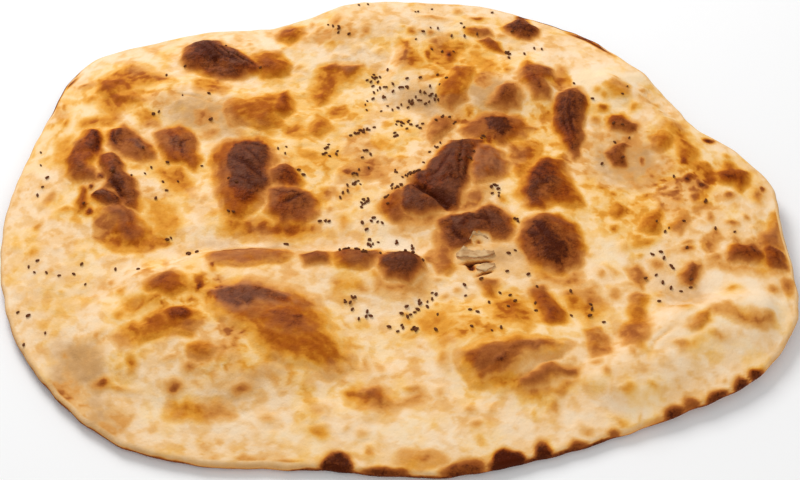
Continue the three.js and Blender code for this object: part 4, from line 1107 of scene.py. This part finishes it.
def bread_piece(material):
    """The ball of dough, pressed, with its tones as attributes for the finish."""
    piece = mesh_object("baked_bread", ball_of_dough(), material)
    mesh = piece.data
    points = np.empty(len(mesh.vertices) * 3, np.float32)
    mesh.vertices.foreach_get("co", points)
    place, tones = pressed(points.reshape(-1, 3).astype(float))
    for name, values in zip(TONES, tones):
        tone = mesh.attributes.new(name, "FLOAT", "POINT")
        tone.data.foreach_set("value", values.astype(np.float32))
    place[:, 0] -= MIDDLE[0]
    place[:, 1] -= MIDDLE[1]
    mesh.vertices.foreach_set("co", (place * MM).astype(np.float32).ravel())
    mesh.update()
    return piece


# ---------------------------------------------------------------- the seeds

SEED_START = 4711  # picks the fall of the seeds, as in the CAD part
SEED_SIDES, SEED_RINGS = 6, 5
SEED_TAPER = 0.28  # how much narrower the pointed end is
SLOPE_STEP = 0.8  # how far from a seed the slope of the crust is read


def seed_fall():
    """Every seed that fell on the bread, by the CAD part's rule: (x, y, size, heading)."""
    random = seeded_numbers(SEED_START)
    seeds = []
    for *oval, count in SEED_FALLS:
        for _ in range(count):
            x, y = fallen(oval, next(random), next(random))
            size = 1 + SEED_VARY * (2 * next(random) - 1)
            heading = math.pi * next(random)
            seeds.append((x, y, size, heading))
    return seeds


def seeds_piece(material):
    """All the seeds in one mesh: pointed at one end, blunt at the other, with flat sides."""
    seeds = seed_fall()
    x, y = np.array([seed[0] for seed in seeds]), np.array([seed[1] for seed in seeds])
    step = SLOPE_STEP
    height = topside(x, y)
    slope_x = (topside(x + step, y) - topside(x - step, y)) / (2 * step)
    slope_y = (topside(x, y + step) - topside(x, y - step)) / (2 * step)
    body = bmesh.new()
    up = Vector((0.0, 0.0, 1.0))
    for i, (seed_x, seed_y, size, heading) in enumerate(seeds):
        long, wide = SEED_LONG / 2 * size, SEED_WIDE / 2 * size
        normal = Vector((-slope_x[i], -slope_y[i], 1.0)).normalized()
        foot = Vector((seed_x - MIDDLE[0], seed_y - MIDDLE[1], height[i]))
        centre = foot + normal * (wide - SEED_SUNK * SEED_WIDE)
        lean = up.rotation_difference(normal).to_matrix().to_4x4()
        laid = Matrix.Translation(centre * MM) @ lean @ Matrix.Rotation(heading, 4, "Z")
        grown = bmesh.ops.create_uvsphere(
            body, u_segments=SEED_SIDES, v_segments=SEED_RINGS, radius=1.0
        )
        for v in grown["verts"]:
            v.co = Vector((v.co.z, v.co.x, v.co.y))
            taper = 1.0 - SEED_TAPER * max(0.0, v.co.x)
            shaped = Vector((v.co.x * long, v.co.y * wide * taper, v.co.z * wide * taper))
            v.co = laid @ (shaped * MM)
    return mesh_object("nigella_seeds", body, material, smooth=False)


# ---------------------------------------------------------------- the torn skin

FLAKE_THICK = 0.35
FLAKE_SINK = 0.3  # how deep the flakes' far edges sit in the crust
FLAKE_ALONG, FLAKE_ACROSS = 14, 5  # how finely a flake is cut
FLAKE_RAGGED, RAGGED = 0.35, (3.0, 77)  # how ragged its long edges are, and their noise
FLAKE_BUCKLE, BUCKLE = 0.25, (4.0, 78)
FLAKE_TIP = 0.12  # keeps its two ends from running to a point


def flakes_piece(material):
    """The torn flakes, each a strip laid along its run with its near edge curled up."""
    body = bmesh.new()
    for run, width, curl in FLAKES:
        strip = bmesh.ops.create_grid(
            body, x_segments=FLAKE_ALONG, y_segments=FLAKE_ACROSS, size=0.5
        )["verts"]
        along = np.array([v.co.x + 0.5 for v in strip])
        across = np.array([v.co.y for v in strip])
        marks = np.linspace(0.0, 1.0, len(run))
        x = np.interp(along, marks, [p[0] for p in run])
        y = np.interp(along, marks, [p[1] for p in run])
        ragged = 1.0 + FLAKE_RAGGED * rough(x + 40.0 * across, y, *RAGGED)
        taper = np.sqrt(np.clip(4.0 * along * (1.0 - along), FLAKE_TIP, 1.0))
        y = y + across * width * ragged * taper
        height = topside(x, y) - FLAKE_SINK + curl * (0.5 - across) ** 2
        height = height + FLAKE_BUCKLE * rough(x, y, *BUCKLE)
        for v, vx, vy, vz in zip(strip, x, y, height):
            v.co = Vector((vx - MIDDLE[0], vy - MIDDLE[1], vz + FLAKE_THICK)) * MM
    bmesh.ops.solidify(body, geom=body.faces[:], thickness=FLAKE_THICK * MM)
    bmesh.ops.recalc_face_normals(body, faces=body.faces[:])
    return mesh_object("torn_flakes", body, material)


# ---------------------------------------------------------------- finishes

# Sockets of a Mix node that mixes colours, which share their names with its other sockets.
MIX_FACTOR, MIX_FIRST, MIX_SECOND, MIX_COLOUR = 0, 6, 7, 2


def paint(red, green, blue):
    """A colour as read off the table, 0 to 255, for a shader."""
    def linear(c):
        c /= 255.0
        return c / 12.92 if c <= 0.04045 else ((c + 0.055) / 1.055) ** 2.4
    return (linear(red), linear(green), linear(blue), 1.0)


class Signal:
    """A value in a finish's node tree, so that shader maths reads as Python."""

    def __init__(self, finish, socket):
        self.finish = finish
        self.socket = socket

    def _maths(self, operation, a, b):
        return self.finish.node("ShaderNodeMath", {"operation": operation}, {0: a, 1: b})

    def __add__(self, other):
        return self._maths("ADD", self, other)

    def __radd__(self, other):
        return self._maths("ADD", other, self)

    def __sub__(self, other):
        return self._maths("SUBTRACT", self, other)

    def __rsub__(self, other):
        return self._maths("SUBTRACT", other, self)

    def __mul__(self, other):
        return self._maths("MULTIPLY", self, other)

    def __rmul__(self, other):
        return self._maths("MULTIPLY", other, self)


class Finish:
    """A material and the nodes in it."""

    def __init__(self, name):
        self.material = bpy.data.materials.new(name)
        self.material.use_nodes = True
        self.tree = self.material.node_tree
        self.tree.nodes.clear()

    def node(self, kind, settings=None, inputs=None, output=0):
        """Adds a node, sets it up, feeds its sockets and gives one of its outputs."""
        made = self.tree.nodes.new(kind)
        for name, value in (settings or {}).items():
            if name == "stops":
                ramp = made.color_ramp
                while len(ramp.elements) < len(value):
                    ramp.elements.new(1.0)
                for element, (place, colour) in zip(ramp.elements, value):
                    element.position = place
                    element.color = colour
            else:
                setattr(made, name, value)
        for name, value in (inputs or {}).items():
            socket = made.inputs[name]
            if isinstance(value, Signal):
                self.tree.links.new(value.socket, socket)
            else:
                socket.default_value = value
        return Signal(self, made.outputs[output]) if made.outputs else None

    def place(self):
        """Where on the bread a point is, in metres."""
        return self.node("ShaderNodeTexCoord", output="Object")

    def grain(self, size_mm, detail=2.0):
        """Noise from 0 to 1 with features of about that size."""
        inputs = {"Vector": self.place(), "Scale": 1.0 / MM / size_mm, "Detail": detail}
        return self.node("ShaderNodeTexNoise", inputs=inputs)

    def crackle(self, size_mm, wander_mm):
        """0 on the lines between cells of about that size, rising to 1 inside them."""
        where = self.place()
        noise = {"Vector": where, "Scale": CRACKLE_DRIFT / MM / size_mm}
        drift = self.node("ShaderNodeTexNoise", inputs=noise, output="Color")
        drift = self.node(
            "ShaderNodeVectorMath", {"operation": "SCALE"}, {0: drift, "Scale": wander_mm * MM}
        )
        where = self.node("ShaderNodeVectorMath", {"operation": "ADD"}, {0: where, 1: drift})
        cells = self.node(
            "ShaderNodeTexVoronoi",
            {"feature": "DISTANCE_TO_EDGE"},
            {"Vector": where, "Scale": 1.0 / MM / size_mm},
        )
        return self.between(cells, 0.0, CRACKLE_WIDTH)

    def tone(self, name):
        """One of the piece's own tones."""
        return self.node("ShaderNodeAttribute", {"attribute_name": name}, output="Fac")

    def ramp(self, value, stops):
        """The colour that a value has on a ramp of (value, colour)."""
        return self.node("ShaderNodeValToRGB", {"stops": stops}, {"Fac": value})

    def blend(self, amount, first, second):
        """Mixes two colours."""
        inputs = {MIX_FACTOR: amount, MIX_FIRST: first, MIX_SECOND: second}
        return self.node("ShaderNodeMix", {"data_type": "RGBA"}, inputs, MIX_COLOUR)

    def between(self, value, low, high):
        """0 up to low, 1 from high on, eased between."""
        return self.node(
            "ShaderNodeMapRange",
            {"interpolation_type": "SMOOTHSTEP"},
            {"Value": value, "From Min": low, "From Max": high},
        )

    def relief(self, height, strength, depth_mm):
        """The normal of a surface with that relief."""
        inputs = {"Height": height, "Strength": strength, "Distance": depth_mm * MM}
        return self.node("ShaderNodeBump", inputs=inputs)

    def surface(self, inputs):
        """Ends the finish in a shader and gives its material."""
        shader = self.node("ShaderNodeBsdfPrincipled", inputs=inputs)
        self.node("ShaderNodeOutputMaterial", inputs={"Surface": shader})
        return self.material


# Sizes in the crust's finish, in mm.
COARSE, MEDIUM, FINE = 7.0, 2.6, 0.9
TAN_PLACES = 17.0
PORES, WIDE_PORES = 1.6, 4.5
CRACKLE, CRACKLE_WANDER = 5.0, 7.0
CRACKLE_DRIFT = 0.7  # how fine its wandering is, against its cells
CRACKLE_WIDTH = 0.12  # width of its lines, as a share of a cell
CRUST_DEPTH, FLAKE_DEPTH, SEED_DEPTH = 0.6, 0.3, 0.1

# Browning from which, and by which, something shows.
CHARRED = (0.62, 0.85)
DARK = (0.55, 0.86)
PALE = (0.2, 0.6)
SET_BROWN = (0.5, 0.6)  # where tan turns to brown, which is made a little steeper

# Noise from which, and by which, something shows.
BROKEN = (0.42, 0.58)
TANNED = (0.34, 0.54)
# The next two are for the grey of painted shade and dry dough, and for the painted sheen.
SHADE_AND_DRY_RANGE = (0.0, 0.95)
SHEENED = (0.3, 0.6)
PATCHY = (0.35, 0.65)

MEAN = 0.5  # of all the grain
COARSE_TONE, MEDIUM_TONE, FINE_TONE = 0.12, 0.1, 0.05  # how much browning the grain adds or takes
CHAR_MEDIUM, CHAR_FINE = 0.1, 0.14  # what it adds or takes more of on charred crust
BROWN_STEP, BROWN_BALANCE = 0.05, 0.02
CRACKLE_TONE = 0.07
GREY_TANS, GOLD_GILDS = 0.2, 0.34  # how far grey places lean to tan, and gilded ones to gold
# How far the grey of painted shade and dry dough, and the painted sheen, show.
SHADE_DRY_LEAST, SHADE_DRY_GRAIN, SHADE_DRY_SHARE = 0.1, 1.8, 0.85
SHEEN_SHARE = 0.75

CRUST_ROUGH, DARK_SMOOTHER, ROUGH_GRAIN = 0.68, 0.1, 0.12
CRUST_COAT, COAT_ROUGH = 0.03, 0.4
PORE_RELIEF, DARK_PORES, WIDE_RELIEF, FINE_RELIEF, CRACKLE_RELIEF = 0.5, 0.9, 0.8, 0.3, 0.35
CRUST_STRENGTH, SMALL_STRENGTH = 0.7, 0.4  # how strongly the relief of the crust, and others, shows

FLAKE_PATCHES, FLAKE_PORES, FLAKE_ROUGH = 5.0, 1.2, 0.75
SEED_SPECKLES, SEED_PITS, SEED_ROUGH = 0.8, 0.4, 0.7
DULL = 0.05  # how much light the dry surfaces mirror
TABLE_ROUGH = 0.9

# Colours of the crust as it browns, where it turns golden and where it turns tan.
GOLDEN_TONES = [
    (0.0, paint(250, 221, 178)),
    (0.12, paint(250, 211, 154)),
    (0.26, paint(243, 190, 106)),
    (0.4, paint(230, 158, 56)),
    (0.53, paint(207, 127, 32)),
    (0.66, paint(174, 90, 14)),
    (0.78, paint(144, 64, 8)),
    (0.89, paint(112, 44, 4)),
    (1.0, paint(74, 22, 0)),
]
TANNED_TONES = [
    (0.0, paint(250, 223, 187)),
    (0.12, paint(248, 211, 164)),
    (0.26, paint(239, 189, 123)),
    (0.4, paint(224, 158, 80)),
    (0.53, paint(201, 128, 56)),
    (0.66, paint(170, 97, 40)),
    (0.78, paint(144, 74, 26)),
    (0.89, paint(112, 52, 16)),
    (1.0, paint(74, 26, 4)),
]
# The grey is painted shade and dry dough; the two sheens are painted highlights.
SHADE_AND_DRY_GREY = paint(195, 146, 92)
PALE_PAINTED_SHEEN, DARK_PAINTED_SHEEN = paint(196, 128, 78), paint(120, 70, 46)
TORN_BROWN, TORN_PALE = paint(180, 136, 90), paint(216, 180, 132)
SEED_DARK, SEED_LIGHT = paint(88, 46, 24), paint(124, 76, 44)
TABLE_WHITE = paint(250, 250, 250)


def crust_finish():
    """The crust: two ramps of browning with grain, a grey cast that is partly painted shade, a
    painted purplish sheen and relief.
    """
    finish = Finish("baked_crust")
    bake, gloss, grey, gold = (finish.tone(name) for name in TONES)
    coarse, medium, fine = finish.grain(COARSE), finish.grain(MEDIUM), finish.grain(FINE, 1.0)

    uneven = bake + (coarse - MEAN) * COARSE_TONE
    uneven = uneven + (medium - MEAN) * MEDIUM_TONE + (fine - MEAN) * FINE_TONE
    charred = finish.between(bake, *CHARRED)
    uneven = uneven + ((medium - MEAN) * CHAR_MEDIUM + (fine - MEAN) * CHAR_FINE) * charred
    uneven = uneven + finish.between(uneven, *SET_BROWN) * BROWN_STEP - BROWN_BALANCE
    shrunk = finish.crackle(CRACKLE, CRACKLE_WANDER)
    broken = finish.between(medium, *BROKEN)
    uneven = uneven + (1.0 - shrunk) * charred * broken * CRACKLE_TONE

    golden = finish.ramp(uneven, GOLDEN_TONES)
    tanned = finish.ramp(uneven, TANNED_TONES)
    leaning = finish.grain(TAN_PLACES) + GREY_TANS * grey - GOLD_GILDS * gold
    colour = finish.blend(finish.between(leaning, *TANNED), golden, tanned)
    # Painted shade in the valleys and on slopes turned from the light, with dry dough, greys the
    # paler crust.
    pale = 1.0 - finish.between(bake, *PALE)
    shade_and_dry_shown = finish.between(grey * (SHADE_DRY_LEAST + SHADE_DRY_GRAIN * coarse), *SHADE_AND_DRY_RANGE) * pale
    colour = finish.blend(shade_and_dry_shown * SHADE_DRY_SHARE, colour, SHADE_AND_DRY_GREY)
    # Painted sheen: a purplish highlight painted where the patches are glossy.
    dark = finish.between(bake, *DARK)
    painted_sheen = finish.blend(dark, PALE_PAINTED_SHEEN, DARK_PAINTED_SHEEN)
    shown = gloss * finish.between(coarse, *SHEENED) * SHEEN_SHARE
    colour = finish.blend(shown, colour, painted_sheen)

    pores, wide_pores = finish.grain(PORES, 3.0), finish.grain(WIDE_PORES)
    relief = pores * (PORE_RELIEF + DARK_PORES * dark)
    relief = relief + wide_pores * WIDE_RELIEF + fine * FINE_RELIEF
    relief = relief + shrunk * charred * broken * CRACKLE_RELIEF
    return finish.surface(
        {
            "Base Color": colour,
            "Roughness": CRUST_ROUGH - DARK_SMOOTHER * dark + ROUGH_GRAIN * (medium - MEAN),
            "Normal": finish.relief(relief, CRUST_STRENGTH, CRUST_DEPTH),
            "Coat Weight": gloss * CRUST_COAT,
            "Coat Roughness": COAT_ROUGH,
            "Specular IOR Level": DULL,
        }
    )


def flake_finish():
    """The torn skin: pale, with browner places."""
    finish = Finish("torn_skin")
    patchy = finish.between(finish.grain(FLAKE_PATCHES, 3.0), *PATCHY)
    return finish.surface(
        {
            "Base Color": finish.blend(patchy, TORN_BROWN, TORN_PALE),
            "Roughness": FLAKE_ROUGH,
            "Normal": finish.relief(finish.grain(FLAKE_PORES), SMALL_STRENGTH, FLAKE_DEPTH),
            "Specular IOR Level": DULL,
        }
    )


def seed_finish():
    """The seeds: matt, nearly black, with a finely pitted skin."""
    finish = Finish("nigella_black")
    return finish.surface(
        {
            "Base Color": finish.blend(finish.grain(SEED_SPECKLES), SEED_DARK, SEED_LIGHT),
            "Roughness": SEED_ROUGH,
            "Normal": finish.relief(finish.grain(SEED_PITS), SMALL_STRENGTH, SEED_DEPTH),
            "Specular IOR Level": DULL,
        }
    )


def table_finish():
    """A plain, pale, matt table."""
    return Finish("pale_table").surface({"Base Color": TABLE_WHITE, "Roughness": TABLE_ROUGH})


# ---------------------------------------------------------------- the pieces

bread = bread_piece(crust_finish())
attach(bread, "root")
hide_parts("bread")

seeds = seeds_piece(seed_finish())
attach(seeds, "root")

flakes = flakes_piece(flake_finish())
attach(flakes, "root")

# ---------------------------------------------------------------- table, light and camera

TABLE_HALF = 4.0
DAYLIGHT = 0.45  # strength of the even white light from all round

# Soft square lights that look at the bread: name, place, width, power.
LIGHTS = [
    ("window", (-0.55, 1.1, 0.95), 0.7, 19.0),
    ("front_fill", (0.7, -1.2, 0.9), 1.2, 7.0),
]

CAMERA_PLACE = (0.004227, -0.464021, 0.442096)
CAMERA_TARGET = (0.004227, -0.029926, 0.008)
CAMERA_LENS, CAMERA_SENSOR = 55.0, 36.0
CAMERA_FAR = 20.0


def aimed(name, data, place, target):
    """An object at a place that looks at a point."""
    holder = bpy.data.objects.new(name, data)
    holder.location = place
    holder.rotation_euler = (Vector(target) - Vector(place)).to_track_quat("-Z", "Y").to_euler()
    bpy.context.scene.collection.objects.link(holder)
    return holder


table_body = bmesh.new()
bmesh.ops.create_grid(table_body, x_segments=1, y_segments=1, size=TABLE_HALF)
table = mesh_object("table_top", table_body, table_finish())

for light_name, light_place, light_size, light_power in LIGHTS:
    lamp = bpy.data.lights.new(light_name, "AREA")
    lamp.shape = "SQUARE"
    lamp.size = light_size
    lamp.energy = light_power
    aimed(light_name, lamp, light_place, (0.0, 0.0, 0.0))

world = bpy.data.worlds.new("studio")
world.use_nodes = True
background = world.node_tree.nodes["Background"]
background.inputs["Color"].default_value = (1.0, 1.0, 1.0, 1.0)
background.inputs["Strength"].default_value = DAYLIGHT
bpy.context.scene.world = world
bpy.context.scene.view_settings.view_transform = "Standard"

camera_data = bpy.data.cameras.new("camera")
camera_data.lens = CAMERA_LENS
camera_data.sensor_width = CAMERA_SENSOR
camera_data.clip_end = CAMERA_FAR
camera = aimed("camera", camera_data, CAMERA_PLACE, CAMERA_TARGET)
bpy.context.scene.camera = camera
